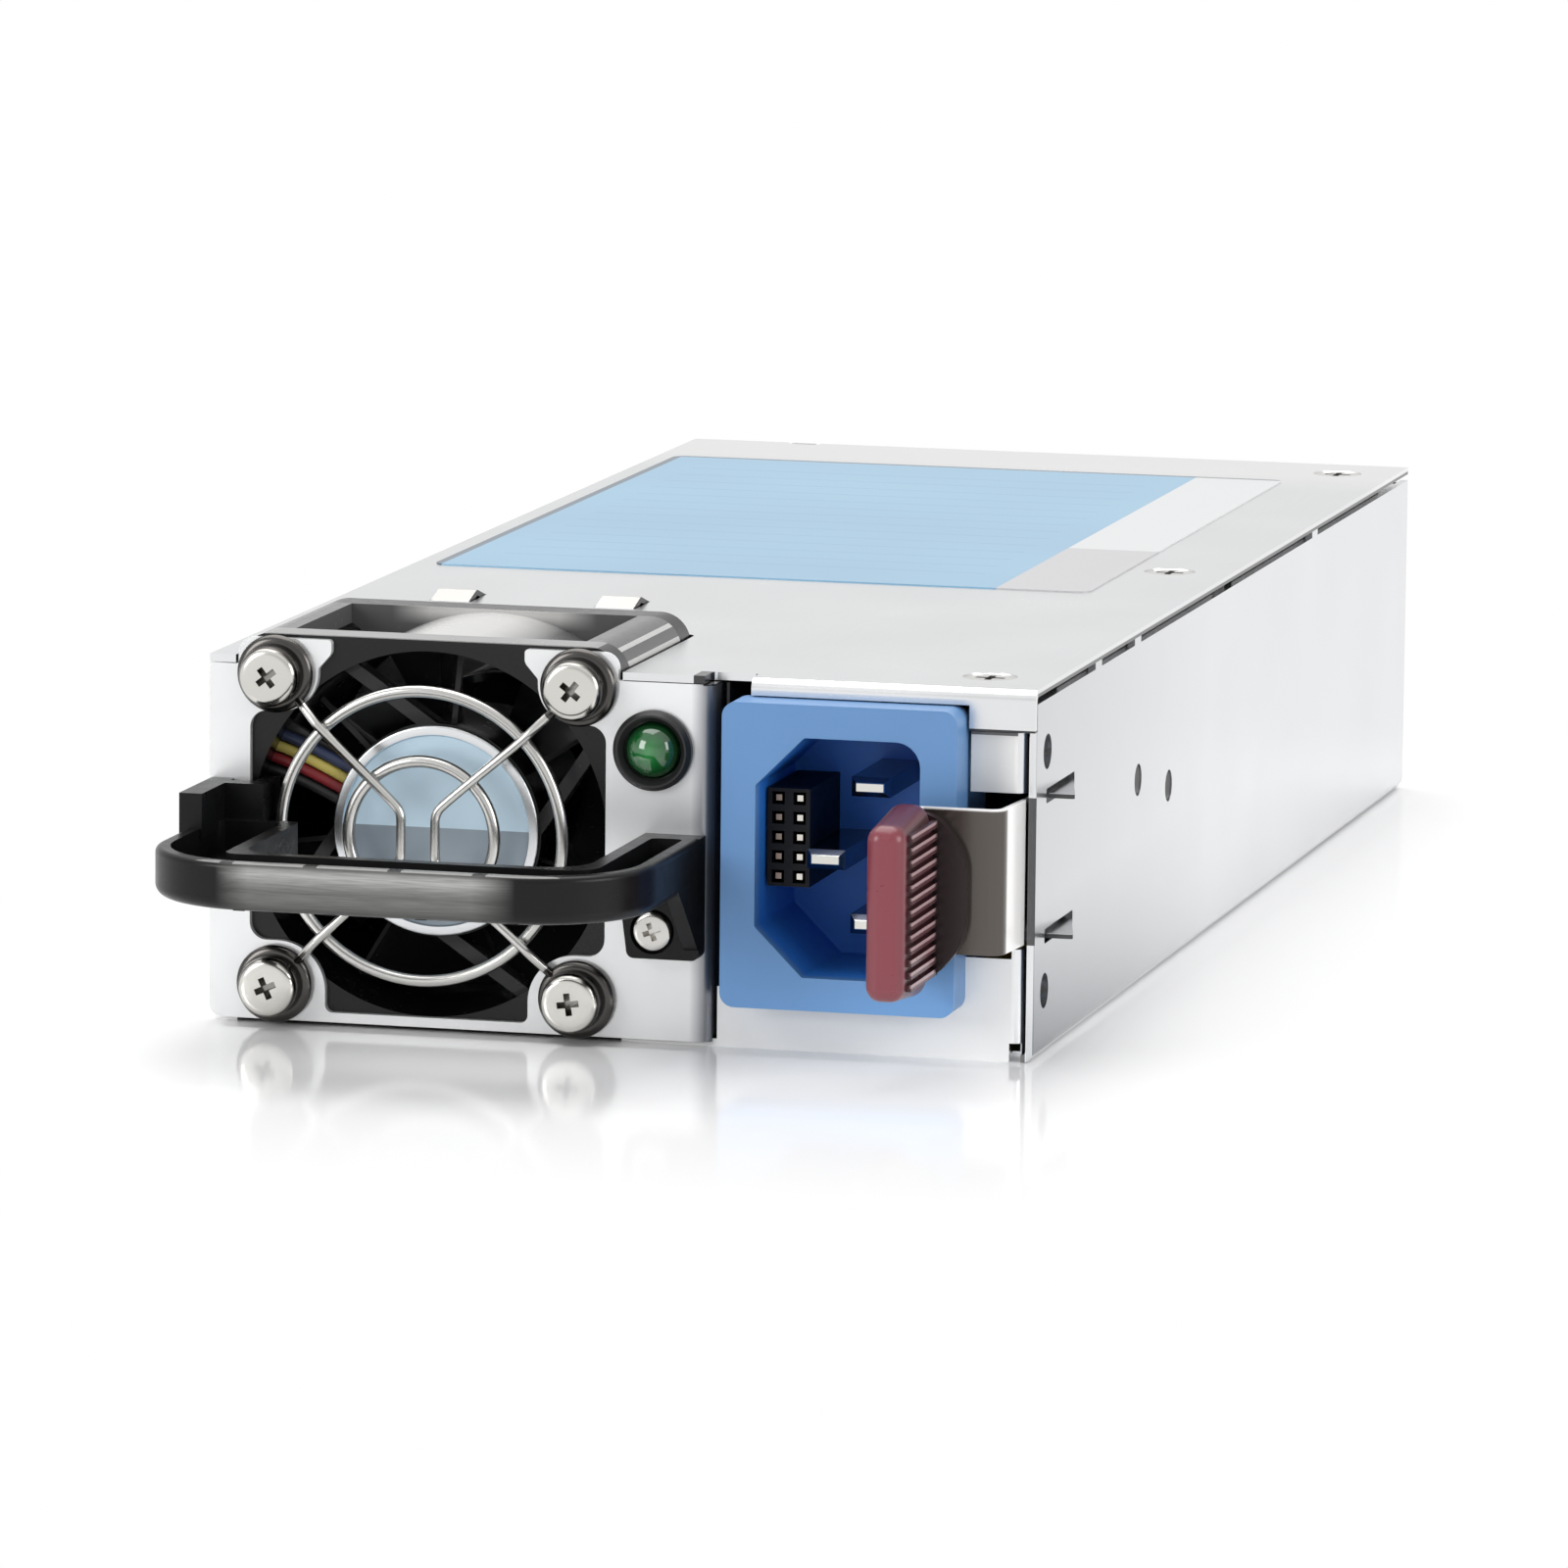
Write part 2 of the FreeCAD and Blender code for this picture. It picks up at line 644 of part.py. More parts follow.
def cross_slots(place, axis, length, width, depth):
    """Two crossed slots sunk in a screw's head, opening along minus axis."""
    x, y, z = place
    cuts = []
    for a, b in ((length / 2, width / 2), (width / 2, length / 2)):
        if axis == "z":
            cuts.append(box(x - a, y - b, z - depth, x + a, y + b, z + 1))
        else:
            cuts.append(box(x - a, y - 1, z - b, x + a, y + depth, z + b))
    return cuts


def cover_screws():
    screws = []
    cone = COVER_HEAD_RADIUS - COVER_SCREW_RADIUS
    profile = [
        (0, 0.1),
        (COVER_HEAD_RADIUS, 0.1),
        (COVER_SCREW_RADIUS, cone + 0.1),
        (COVER_SCREW_RADIUS, 5.0),
        (0, 5.0),
    ]
    for x, y in cover_screw_spots():
        screw = turned(profile, (x, y, CASE_HEIGHT), (0, 0, -1))
        screws.append(screw.cut(cross_slots((x, y, CASE_HEIGHT), "z", 3.0, 0.7, 1.2)))
    return group(screws)


def rear_panel():
    """Perforated wall with a slot for the card edge and a flange along each side wall."""
    inner = SHEET + FIT
    left = LEFT + inner
    right = RIGHT - inner
    top = WALL_TOP - 0.2
    panel = front_plate(rectangle(left, SHEET, right, top, 0.5), REAR - SHEET, REAR)
    flanges = []
    for x0 in (left, right - SHEET):
        flanges.append(box(x0, REAR - 8, SHEET + 0.5, x0 + SHEET, REAR, top - FLANGE_DEPTH))
    hook = box(REAR_HOOK, REAR - SHEET, top - 1, REAR_HOOK + REAR_HOOK_WIDTH, REAR, CASE_HEIGHT)
    panel = join([panel, hook] + flanges)
    slot_half = TONGUE_WIDTH / 2 + 0.6
    slot = rectangle(-slot_half, BOARD_HEIGHT - 0.6, slot_half, BOARD_TOP + 0.6)
    cuts = [front_plate(slot, REAR - 2 * SHEET, REAR + SHEET)]
    row_pitch = VENT_PITCH * math.sqrt(3) / 2
    bottom = BOARD_TOP + 0.6 + VENT_SIZE
    rows = int((top - VENT_SIZE - bottom) / row_pitch) + 1
    columns = int((right - left - 2 * VENT_SIZE) / VENT_PITCH)
    for row in range(rows):
        for column in range(columns - row % 2):
            x = (column - (columns - row % 2 - 1) / 2) * VENT_PITCH
            cuts.append(hexagon(x, bottom + row * row_pitch, VENT_SIZE / 2))
    return panel.cut(cuts)


def hexagon(x, z, across):
    """A six-sided vent through the rear panel, point upwards."""
    corner = across / math.cos(math.pi / 6)
    corners = []
    for i in range(6):
        angle = math.pi / 6 + i * math.pi / 3
        corners.append((x + corner * math.cos(angle), z + corner * math.sin(angle), 0))
    return front_plate(corners, REAR - 2 * SHEET, REAR + SHEET)


def insulator_sheet():
    """Sheet under the main board, with a flap that stands between the fan plate and the inlet."""
    left = LEFT + INSULATOR_FROM_LEFT
    right = RIGHT - INSULATOR_FROM_RIGHT
    front = FRONT + INSULATOR_FROM_FRONT
    rear = REAR - INSULATOR_FROM_REAR
    flap_left = PLATE_RIGHT + 0.6
    outline = [
        (left, FRONT + BOARD_FRONT, 0),
        (flap_left, FRONT + BOARD_FRONT, 0),
        (flap_left, front, 0),
        (right, front, 0),
        (right, rear, 0),
        (left, rear, 0),
    ]
    sheet = top_plate(outline, SHEET, SHEET + INSULATOR)
    flap = box(flap_left, front, SHEET, flap_left + INSULATOR, front + INSULATOR_FLAP, COVER_UNDER - 0.2)
    holes = []
    for x, y in standoff_spots():
        holes.append(rod(STANDOFF_RADIUS + INSULATOR_HOLE_SLACK, (x, y, 0), (x, y, BOARD_HEIGHT)))
    return join([sheet, flap]).cut(holes)


# Fan

def fan_corners():
    half = FAN_HOLE_PITCH / 2
    return [(FAN_X + a * half, FAN_Z + b * half) for a in (-1, 1) for b in (-1, 1)]


def about_fan(shape, degrees):
    return shape.rotated(Vector(FAN_X, 0, FAN_Z), Vector(0, 1, 0), -degrees)


def fan_point(radius, degrees):
    angle = math.radians(degrees)
    return FAN_X + radius * math.cos(angle), FAN_Z + radius * math.sin(angle)


def fan_rod(radius, start, end):
    """A cylinder on the fan's axis, from one depth behind its front face to another."""
    return rod(radius, (FAN_X, FAN_FRONT + start, FAN_Z), (FAN_X, FAN_FRONT + end, FAN_Z))


def tube_outer():
    return SHAFT_RADIUS + BEARING_CLEARANCE + BEARING_WALL + TUBE_WALL


def strut(degrees):
    """A bar that leans back from the bore's wall to the motor's base."""
    outer = fan_point(FAN_BORE + 0.4, degrees)
    inner = fan_point(HUB_BASE_RADIUS - 0.6, degrees - STRUT_SWEEP)
    length = math.hypot(outer[0] - inner[0], outer[1] - inner[1])
    half = STRUT_WIDTH / 2 / length
    across = ((outer[1] - inner[1]) * half, (inner[0] - outer[0]) * half)
    corners = [
        (outer[0] + across[0], outer[1] + across[1], 0),
        (inner[0] + across[0], inner[1] + across[1], 0),
        (inner[0] - across[0], inner[1] - across[1], 0),
        (outer[0] - across[0], outer[1] - across[1], 0),
    ]
    depth = FAN_FRONT + HUB_BASE_SETBACK
    return front_plate(corners, depth, depth + 2.4)


def lead_channel():
    """The flat bar behind the leads, from the motor's base to the bore's left side."""
    low = FAN_Z + LEAD_AT_WALL - 3 * LEAD_PITCH - 0.8
    hub_low = FAN_Z + LEAD_AT_HUB - 3 * LEAD_PITCH - 0.8
    corners = [
        (FAN_X - 9.5, hub_low, 0),
        (FAN_X - 9.5, FAN_Z + LEAD_AT_HUB + 0.9, 0),
        (FAN_X - 16.4, FAN_Z + LEAD_AT_WALL + 1.1, 0),
        (FAN_X - FAN_BORE - 0.4, FAN_Z + LEAD_AT_WALL + 1.6, 0),
        (FAN_X - FAN_BORE - 0.4, low, 0),
        (FAN_X - 16.4, low, 0),
    ]
    front = FAN_FRONT + LEAD_SETBACK + LEAD_RADIUS + 0.04
    return front_plate(corners, front, front + 0.8).common(fan_rod(FAN_BORE + 0.5, 0, FAN_DEPTH))


def lead_openings():
    """The notch in the motor's base, and the way out through the frame's left side."""
    front = FAN_FRONT + LEAD_SETBACK - LEAD_RADIUS - 0.05
    back = FAN_FRONT + LEAD_SETBACK + LEAD_RADIUS + 0.04
    low = FAN_Z + LEAD_AT_WALL - 3 * LEAD_PITCH - 0.65
    high = FAN_Z + LEAD_AT_WALL + 0.65
    notch_low = FAN_Z + LEAD_AT_HUB - 3 * LEAD_PITCH - 0.7
    notch = box(FAN_X - 11.5, FAN_FRONT + 2, notch_low, FAN_X - 8.9, back, FAN_Z + LEAD_AT_HUB + 1.3)
    passage = box(FAN_LEFT - 1, front, low, FAN_X - 15.4, back, high)
    turn = box(FAN_LEFT - 1, front, low, FAN_X - 17.2, FAN_FRONT + LEAD_SETBACK + 2.3, high)
    return [notch, passage, turn]


def fan_frame():
    half = FAN_SIZE / 2
    square = rectangle(FAN_X - half, FAN_Z - half, FAN_X + half, FAN_Z + half, FAN_CORNER)
    frame = front_plate(square, FAN_FRONT, FAN_REAR)
    pocket_half = half - FAN_POST
    barrel = fan_rod(half - 0.3, -1, FAN_DEPTH + 1)
    pocket = box(
        FAN_X - pocket_half,
        FAN_FRONT + FAN_FLANGE,
        FAN_Z + half - 8,
        FAN_X + pocket_half,
        FAN_REAR - FAN_FLANGE,
        FAN_Z + half + 1,
    ).cut(barrel)
    cuts = [about_fan(pocket, 90 * i) for i in range(4)]
    cuts.append(fan_rod(FAN_BORE, -1, FAN_DEPTH + 1))
    for x, z in fan_corners():
        cuts.append(rod(SCREW_BORE, (x, FAN_FRONT - 1, z), (x, FAN_REAR + 1, z)))
    frame = frame.cut(cuts)
    carrier = [fan_rod(HUB_BASE_RADIUS, HUB_BASE_SETBACK, HUB_BASE_SETBACK + HUB_BASE_THICKNESS)]
    carrier.append(fan_rod(tube_outer(), HUB_BASE_SETBACK, HUB_BASE_SETBACK + HUB_LENGTH - 2.4))
    carrier.append(lead_channel())
    for i in range(STRUTS):
        carrier.append(strut(STRUT_START + 360 / STRUTS * i))
    hollow = fan_rod(tube_outer() - TUBE_WALL, HUB_BASE_SETBACK + HUB_BASE_THICKNESS, FAN_DEPTH)
    return join([frame] + carrier).cut([hollow] + lead_openings())


def hub_start():
    return HUB_BASE_SETBACK + HUB_BASE_THICKNESS + 1.2


def blade_section(radius, reach):
    """A curved blade's section in the plane that stands off the fan's axis by radius."""
    y0 = FAN_FRONT + hub_start() + 1.0
    y1 = FAN_FRONT + hub_start() + HUB_LENGTH - 3.0
    middle = (y0 + y1) / 2
    bow = 1.6
    x = FAN_X + radius
    thick = BLADE_THICKNESS
    front = Vector(x, y0, FAN_Z - reach)
    back = Vector(x, y1, FAN_Z + reach)
    chord = (back - front).normalize()
    normal = chord.cross(Vector(1, 0, 0))
    centre = Vector(x, middle, FAN_Z)
    upper = Part.Arc(front, centre + normal * (bow + thick / 2), back).toShape()
    back_low = back - normal * thick * 0.6
    front_low = front - normal * thick * 0.6
    lower = Part.Arc(back_low, centre + normal * (bow - thick / 2), front_low).toShape()
    end = Part.LineSegment(back, back_low).toShape()
    start = Part.LineSegment(front_low, front).toShape()
    return Part.Wire([upper, end, lower, start])


def fan_impeller():
    start = hub_start()
    end = start + HUB_LENGTH
    cup = fan_rod(HUB_RADIUS, start, end)
    cup = cup.cut(fan_rod(HUB_RADIUS - HUB_WALL, start - 1, end - 1.5))
    boss = fan_rod(SHAFT_RADIUS + 1.6, end - 3.4, end - 1.0)
    cup = cup.fuse(boss)
    tip = FAN_BORE - TIP_CLEARANCE
    reach_root = 3.2
    reach_tip = tip * math.tan(math.radians(BLADE_TWIST)) * 0.75
    root_section = blade_section(HUB_RADIUS - HUB_WALL + 0.1, reach_root)
    blade = Part.makeLoft([root_section, blade_section(tip + 0.3, reach_tip)], True, True)
    blade = blade.common(fan_rod(tip, 0, FAN_DEPTH))
    blades = [about_fan(blade, 360 / BLADES * i) for i in range(BLADES)]
    return join([cup] + blades).cut(fan_rod(SHAFT_RADIUS, end - 4, end - 1.0))


def fan_shaft():
    start = HUB_BASE_SETBACK + HUB_BASE_THICKNESS + 0.4
    return fan_rod(SHAFT_RADIUS, start, hub_start() + HUB_LENGTH - 1.0)


def fan_magnet_ring():
    outer = HUB_RADIUS - HUB_WALL
    start = hub_start() + 1.0
    ring = fan_rod(outer, start, start + 11)
    return ring.cut(fan_rod(outer - MAGNET_THICKNESS, start - 1, start + 12))


def fan_bearings():
    outer = tube_outer() - TUBE_WALL
    inner = SHAFT_RADIUS + BEARING_CLEARANCE
    rings = []
    tube_end = HUB_BASE_SETBACK + HUB_LENGTH - 2.4
    for start, end in ((HUB_BASE_SETBACK + HUB_BASE_THICKNESS, 8.5), (tube_end - 4.0, tube_end)):
        rings.append(fan_rod(outer, start, end).cut(fan_rod(inner, start - 1, end + 1)))
    return group(rings)


def fan_stator():
    """Laminated core with four poles on the bearing tube."""
    start = hub_start() + 2.4
    end = start + 8
    poles = []
    for i in range(2):
        bar = pole_block(2.0, STATOR_RADIUS, start, end)
        shoe = pole_block(4.4, STATOR_RADIUS, start, end)
        inside = pole_block(5.0, 5.6, start - 1, end + 1)
        poles.append(about_fan(bar.fuse(shoe.cut(inside)), 90 * i))
    core = join([fan_rod(tube_outer() + 0.9, start, end)] + poles)
    core = core.common(fan_rod(STATOR_RADIUS, start - 1, end + 1))
    return core.cut(fan_rod(tube_outer() + FIT / 2, start - 1, end + 1))


def pole_block(half_width, half_height, start, end):
    return box(
        FAN_X - half_width,
        FAN_FRONT + start,
        FAN_Z - half_height,
        FAN_X + half_width,
        FAN_FRONT + end,
        FAN_Z + half_height,
    )


def fan_coils():
    """Four coils, each a closed loop round its pole."""
    start = FAN_FRONT + hub_start() + 1.4
    end = start + 10
    coils = []
    for i in range(4):
        loop = box(FAN_X - 3.0, start, FAN_Z + 4.4, FAN_X + 3.0, end, FAN_Z + 5.5)
        core = box(FAN_X - 2.0, start + 1, FAN_Z + 4, FAN_X + 2.0, end - 1, FAN_Z + 6)
        coils.append(about_fan(loop.cut(core), 90 * i))
    return group(coils)


def fan_circuit_board():
    start = HUB_BASE_SETBACK + HUB_BASE_THICKNESS
    board = fan_rod(HUB_RADIUS - 1.4, start, start + 0.8)
    return board.cut(fan_rod(tube_outer() + FIT / 2, start - 1, start + 2))


LEADS = ("fan_lead_blue", "fan_lead_yellow", "fan_lead_red", "fan_lead_black")


def lead_route(index):
    """From the motor's base to the bore's left side, back along the fan and down to the plug."""
    at_hub = FAN_Z + LEAD_AT_HUB - LEAD_PITCH * index
    at_wall = FAN_Z + LEAD_AT_WALL - LEAD_PITCH * index
    y = FAN_FRONT + LEAD_SETBACK
    side = FAN_LEFT - 1.05
    drop_y = lead_drop(index)
    points = [
        (FAN_X - 9.3, y, at_hub),
        (FAN_X - 16.4, y, at_wall),
        (side, y, at_wall),
        (side, drop_y, at_wall),
        (side, drop_y, FAN_Z - 0.5),
        (side + LEAD_SHIFT, drop_y, FAN_Z - 6.5),
        (side + LEAD_SHIFT, drop_y, BOARD_TOP + 6.0),
    ]
    radii = [0, LEAD_BEND, LEAD_BEND, LEAD_BEND, LEAD_BEND, LEAD_BEND, 0]
    return points, radii


def lead_drop(index):
    """How far back each lead turns down: the uppermost one furthest."""
    return FAN_REAR + 4.8 + LEAD_PITCH * (3 - index)


def fan_plug_place():
    return FAN_LEFT - 1.05 + LEAD_SHIFT, (lead_drop(0) + lead_drop(3)) / 2


def fan_lead(index):
    points, radii = lead_route(index)
    return swept(points, radii, LEAD_RADIUS, 6)


def fan_plug():
    x, y = fan_plug_place()
    shell = box(x - 2.2, y - 3.6, BOARD_TOP, x + 2.2, y + 3.6, BOARD_TOP + 6.0)
    return join([shell, box(x + 2.2, y - 3.0, BOARD_TOP, x + 2.8, y + 3.0, BOARD_TOP + 4.2)])


# Fan plate, guard and screws

def fan_opening():
    """Cross-shaped opening, with lugs left round the four fan screws."""
    low = FAN_Z - OPENING_BELOW
    high = FAN_Z + OPENING_ABOVE
    foot = NECK_BOTTOM + PLATE_BOTTOM
    half = [
        (NECK_HALF_WIDTH, foot, 0.8),
        (NECK_HALF_WIDTH, low, LUG_RADIUS),
        (OPENING_HALF_WIDTH, low, 1.8),
        (OPENING_HALF_WIDTH, high, 1.8),
        (UPPER_LUG_REACH, high, UPPER_LUG_RADIUS),
        (UPPER_LUG_REACH, EAR_BOTTOM - 1.6, 0.5),
        (EAR_REACH, EAR_BOTTOM, 1.0),
        (EAR_REACH, EAR_TOP + 1, 0),
    ]
    right = [(FAN_X + u, v, radius) for u, v, radius in half]
    left = [(FAN_X - u, v, radius) for u, v, radius in reversed(half)]
    return right + left


def plate_ears():
    """The two upper lugs rise past the plate's edge in front of the fan."""
    ears = []
    for side in (-1, 1):
        inner = FAN_X + side * EAR_REACH
        outer = FAN_X + side * (FAN_SIZE / 2 + 0.05)
        corners = [
            (inner, EAR_TOP, 0.4),
            (outer, EAR_TOP, 1.6),
            (outer, PLATE_TOP - 2, 0),
            (inner, PLATE_TOP - 2, 0),
        ]
        ears.append(front_plate(corners, FRONT, FRONT + SHEET))
    return ears


def fan_plate():
    """Stamped plate that is bent back at its right edge and hooks inside the left wall."""
    plan = [
        (LEFT, FRONT, 0),
        (PLATE_RIGHT, FRONT, BEND),
        (PLATE_RIGHT, FRONT + PLATE_RETURN, 0),
        (PLATE_RIGHT - SHEET, FRONT + PLATE_RETURN, 0),
        (PLATE_RIGHT - SHEET, FRONT + SHEET, BEND - SHEET),
        (LEFT, FRONT + SHEET, 0),
    ]
    plate = top_plate(plan, PLATE_BOTTOM, PLATE_TOP)
    tab_left = LEFT + SHEET + FIT
    tab = box(tab_left, FRONT + SHEET / 2, 4.0, tab_left + SHEET, FRONT + 8, FAN_Z)
    plate = join([plate, tab] + plate_ears())
    corner = 1.4
    cuts = [front_plate(fan_opening(), FRONT - 1, FRONT + SHEET)]
    back = FRONT + PLATE_RETURN + 1
    cuts.append(box(PLATE_RIGHT - 2, FRONT + SHEET + FIT, 0, PLATE_RIGHT + 1, back, SHEET + 0.3))
    square = box(LEFT, FRONT - 1, PLATE_BOTTOM, LEFT + corner, FRONT + 2, PLATE_BOTTOM + corner)
    centre = (LEFT + corner, FRONT - 2, PLATE_BOTTOM + corner)
    cuts.append(square.cut(rod(corner, centre, (centre[0], FRONT + 3, centre[2]))))
    for x, z in fan_corners():
        cuts.append(rod(SCREW_RADIUS + 0.2, (x, FRONT - 1, z), (x, FRONT + 2, z)))
    light = (LEFT + LIGHT_FROM_LEFT, FRONT - 1, LIGHT_HEIGHT)
    cuts.append(rod(LENS_RADIUS + 0.7, light, (light[0], FRONT + 2, light[2])))
    foot = (LEFT + FOOT_SCREW_FROM_LEFT, FRONT - 1, FOOT_SCREW_HEIGHT)
    cuts.append(rod(1.45, foot, (foot[0], FRONT + 2, foot[2])))
    return plate.cut(cuts)


def finger_guard():
    """Two rings behind two bent wires, with a flattened eyelet at each end of both wires."""
    radius = GUARD_WIRE / 2
    wire_y = FRONT - EYELET_THICKNESS - radius
    ring_y = wire_y + GUARD_WIRE - 0.1
    middle = FAN_X - GUARD_OFF_CENTRE
    parts = []
    for ring in (GUARD_RING, GUARD_INNER_RING):
        parts.append(wire_ring((middle, ring_y, FAN_Z), ring, radius, 6))
    half = FAN_HOLE_PITCH / 2
    step = EYELET_RADIUS / math.sqrt(2)
    for side in (-1, 1):
        end_x = FAN_X + side * (half - step + 0.6)
        end_z = half - step + 0.6
        on_x = end_x - side * 1.9
        on_z = end_z - 1.9
        bend_x = middle + side * GUARD_SPREAD
        points = [
            (end_x, FRONT - EYELET_THICKNESS / 2, FAN_Z + end_z),
            (on_x, wire_y, FAN_Z + on_z),
            (bend_x, wire_y, FAN_Z + GUARD_KINK),
            (bend_x, wire_y, FAN_Z - GUARD_KINK),
            (on_x, wire_y, FAN_Z - on_z),
            (end_x, FRONT - EYELET_THICKNESS / 2, FAN_Z - end_z),
        ]
        parts.append(swept(points, [0, 1.6, 1.8, 1.8, 1.6, 0], radius * 0.8, 6))
    for x, z in fan_corners():
        parts.append(rod(EYELET_RADIUS, (x, FRONT, z), (x, FRONT - EYELET_THICKNESS, z)))
    guard = join(parts)
    bores = [rod(SCREW_BORE + 0.1, (x, FRONT + 1, z), (x, FRONT - 5, z)) for x, z in fan_corners()]
    return guard.cut(bores)


def pan_screw(x, y, z, head_radius, head_height, radius, length):
    """A screw whose head stands forward of y and whose shank runs to the rear."""
    profile = [
        (0, -head_height),
        (head_radius * 0.72, -head_height),
        (head_radius * 0.93, -head_height * 0.62),
        (head_radius, -head_height * 0.2),
        (head_radius, 0),
        (radius, 0),
        (radius, length),
        (0, length),
    ]
    screw = turned(profile, (x, y, z), (0, 1, 0))
    top = (x, y - head_height, z)
    return screw.cut(cross_slots(top, "y", head_radius * 1.1, head_radius * 0.26, head_height * 0.55))


def guard_screws():
    seat = FRONT - EYELET_THICKNESS
    screws = []
    for x, z in fan_corners():
        screws.append(pan_screw(x, seat, z, SCREW_HEAD_RADIUS, SCREW_HEAD_HEIGHT, SCREW_RADIUS, SCREW_LENGTH))
    return group(screws)


# Status light

def light_spot(depth):
    return LEFT + LIGHT_FROM_LEFT, FRONT + depth, LIGHT_HEIGHT


def led_bezel():
    """Black ring that snaps into the plate, flared round the lens."""
    profile = [
        (LENS_RADIUS, -BEZEL_PROUD * 0.5),
        (LENS_RADIUS + 0.5, -BEZEL_PROUD),
        (BEZEL_RADIUS - 0.4, -BEZEL_PROUD),
        (BEZEL_RADIUS, -BEZEL_PROUD * 0.6),
        (BEZEL_RADIUS, 0),
        (LENS_RADIUS + 0.65, 0),
        (LENS_RADIUS + 0.65, 4.0),
        (LENS_RADIUS, 4.0),
    ]
    return turned(profile, light_spot(0), (0, 1, 0))


def led_lens():
    """Domed lens with a straight barrel behind it."""
    x, y, z = light_spot(0)
    barrel = rod(LENS_RADIUS, (x, y, z), (x, y + 4.0, z))
    dome = Part.makeSphere(LENS_RADIUS, Vector(x, y + 0.6, z))
    keep = rod(LENS_RADIUS, (x, y - LENS_RADIUS, z), (x, y, z))
    return join([barrel, dome.common(keep)])


def led_board():
    x, y, z = light_spot(4.0)
    board = front_plate(rectangle(x - 3.6, z - 4.2, x + 3.0, z + 4.2, 0.6), y, y + 1.2)
    return join([board, box(x - 1.5, y + 1.2, z - 3.6, x + 1.5, y + 3.0, z - 1.0)])


# Handle

def handle_plan():
    """Outer and inner outlines of the handle's U, seen from above."""
    left = LEFT + HANDLE_LEFT
    right = LEFT + HANDLE_RIGHT
    front = FRONT - HANDLE_REACH
    inner_front = front + HANDLE_BAR
    inner_left = left + HANDLE_ARM + 3.6
    neck = left + HANDLE_ARM - 1.0
    inner_right = right - HANDLE_ARM
    return [
        (left, FRONT, 0),
        (left, front, HANDLE_CORNER),
        (right, front, HANDLE_CORNER),
        (right, FRONT, 0),
        (inner_right, FRONT, 0),
        (inner_right, inner_front, 4.5),
        (inner_left, inner_front, 3.0),
        (inner_left, FRONT - 3.8, 1.0),
        (neck, FRONT - 3.8, 1.0),
        (neck, FRONT, 0),
    ]


def handle_hollow():
    """The channel in the top of the U, one wall inside its outline."""
    left = LEFT + HANDLE_LEFT + HANDLE_WALL
    right = LEFT + HANDLE_RIGHT - HANDLE_WALL
    front = FRONT - HANDLE_REACH + HANDLE_WALL
    inner_front = FRONT - HANDLE_REACH + HANDLE_BAR - HANDLE_WALL
    inner_left = LEFT + HANDLE_LEFT + HANDLE_ARM + 3.6 - HANDLE_WALL
    inner_right = LEFT + HANDLE_RIGHT - HANDLE_ARM + HANDLE_WALL
    return [
        (left, FRONT - 3.8 - HANDLE_WALL, 1.0),
        (left, front, HANDLE_CORNER - HANDLE_WALL),
        (right, front, HANDLE_CORNER - HANDLE_WALL),
        (right, FRONT - FOOT_THICKNESS - 0.6, 0.8),
        (inner_right, FRONT - FOOT_THICKNESS - 0.6, 0.8),
        (inner_right, inner_front, 3.0),
        (inner_left, inner_front, 1.5),
        (inner_left, FRONT - 3.8 - HANDLE_WALL, 1.0),
    ]


def handle_ribs():
    """Cross ribs in the bar, spread evenly about its middle."""
    front = FRONT - HANDLE_REACH + HANDLE_WALL / 2
    back = FRONT - HANDLE_REACH + HANDLE_BAR - HANDLE_WALL / 2
    middle = LEFT + (HANDLE_LEFT + HANDLE_RIGHT) / 2
    span = HANDLE_RIGHT - HANDLE_LEFT - 2 * HANDLE_CORNER
    count = int(span / HANDLE_RIB_PITCH) + 2
    ribs = []
    for i in range(count):
        x = middle + (i - (count - 1) / 2) * HANDLE_RIB_PITCH
        ribs.append(box(x - 0.6, front, HANDLE_BOTTOM, x + 0.6, back, HANDLE_TOP - 0.7))
    return ribs


def handle_foot():
    """Pad on the plate under the right arm, with a web that carries the arm's outer wall down to it."""
    right = LEFT + HANDLE_RIGHT
    left = right - HANDLE_ARM - 2.4
    pad = [
        (left, HANDLE_BOTTOM + 1.5, 0),
        (left + 1.2, FOOT_BOTTOM, 0.8),
        (right, FOOT_BOTTOM, 0.8),
        (right, HANDLE_TOP, 0),
        (left + 2.4, HANDLE_TOP, 0),
    ]
    web = [
        (FRONT - FOOT_THICKNESS / 2, FOOT_BOTTOM + 0.8, 0),
        (FRONT - FOOT_THICKNESS / 2, HANDLE_BOTTOM + 1, 0),
        (FRONT - 11, HANDLE_BOTTOM + 1, 0),
        (FRONT - 9.5, HANDLE_BOTTOM - 0.3, 0.8),
        (FRONT - FOOT_THICKNESS - 0.4, FOOT_BOTTOM + 1.2, 1.5),
    ]
    return [front_plate(pad, FRONT - FOOT_THICKNESS, FRONT), side_plate(web, right - HANDLE_WALL, right)]


def handle_hook():
    """Upright at the left end, and the tongue that enters the fan opening."""
    left = LEFT + HANDLE_LEFT - 0.6
    low = HANDLE_TOP - 1.0
    high = HANDLE_TOP + 3.6
    upright = box(left, FRONT - 11.4, low, left + 2.4, FRONT - 0.3, high)
    cross = box(left + 2.0, FRONT - 3.6, low, left + 6.5, FRONT - 1.6, high)
    tongue_left = FAN_X - OPENING_HALF_WIDTH + 0.9
    tongue = box(tongue_left, FRONT - 2.0, low + 1, tongue_left + 1.6, FRONT + SHEET + 1.6, high)
    return [upright, cross, tongue]


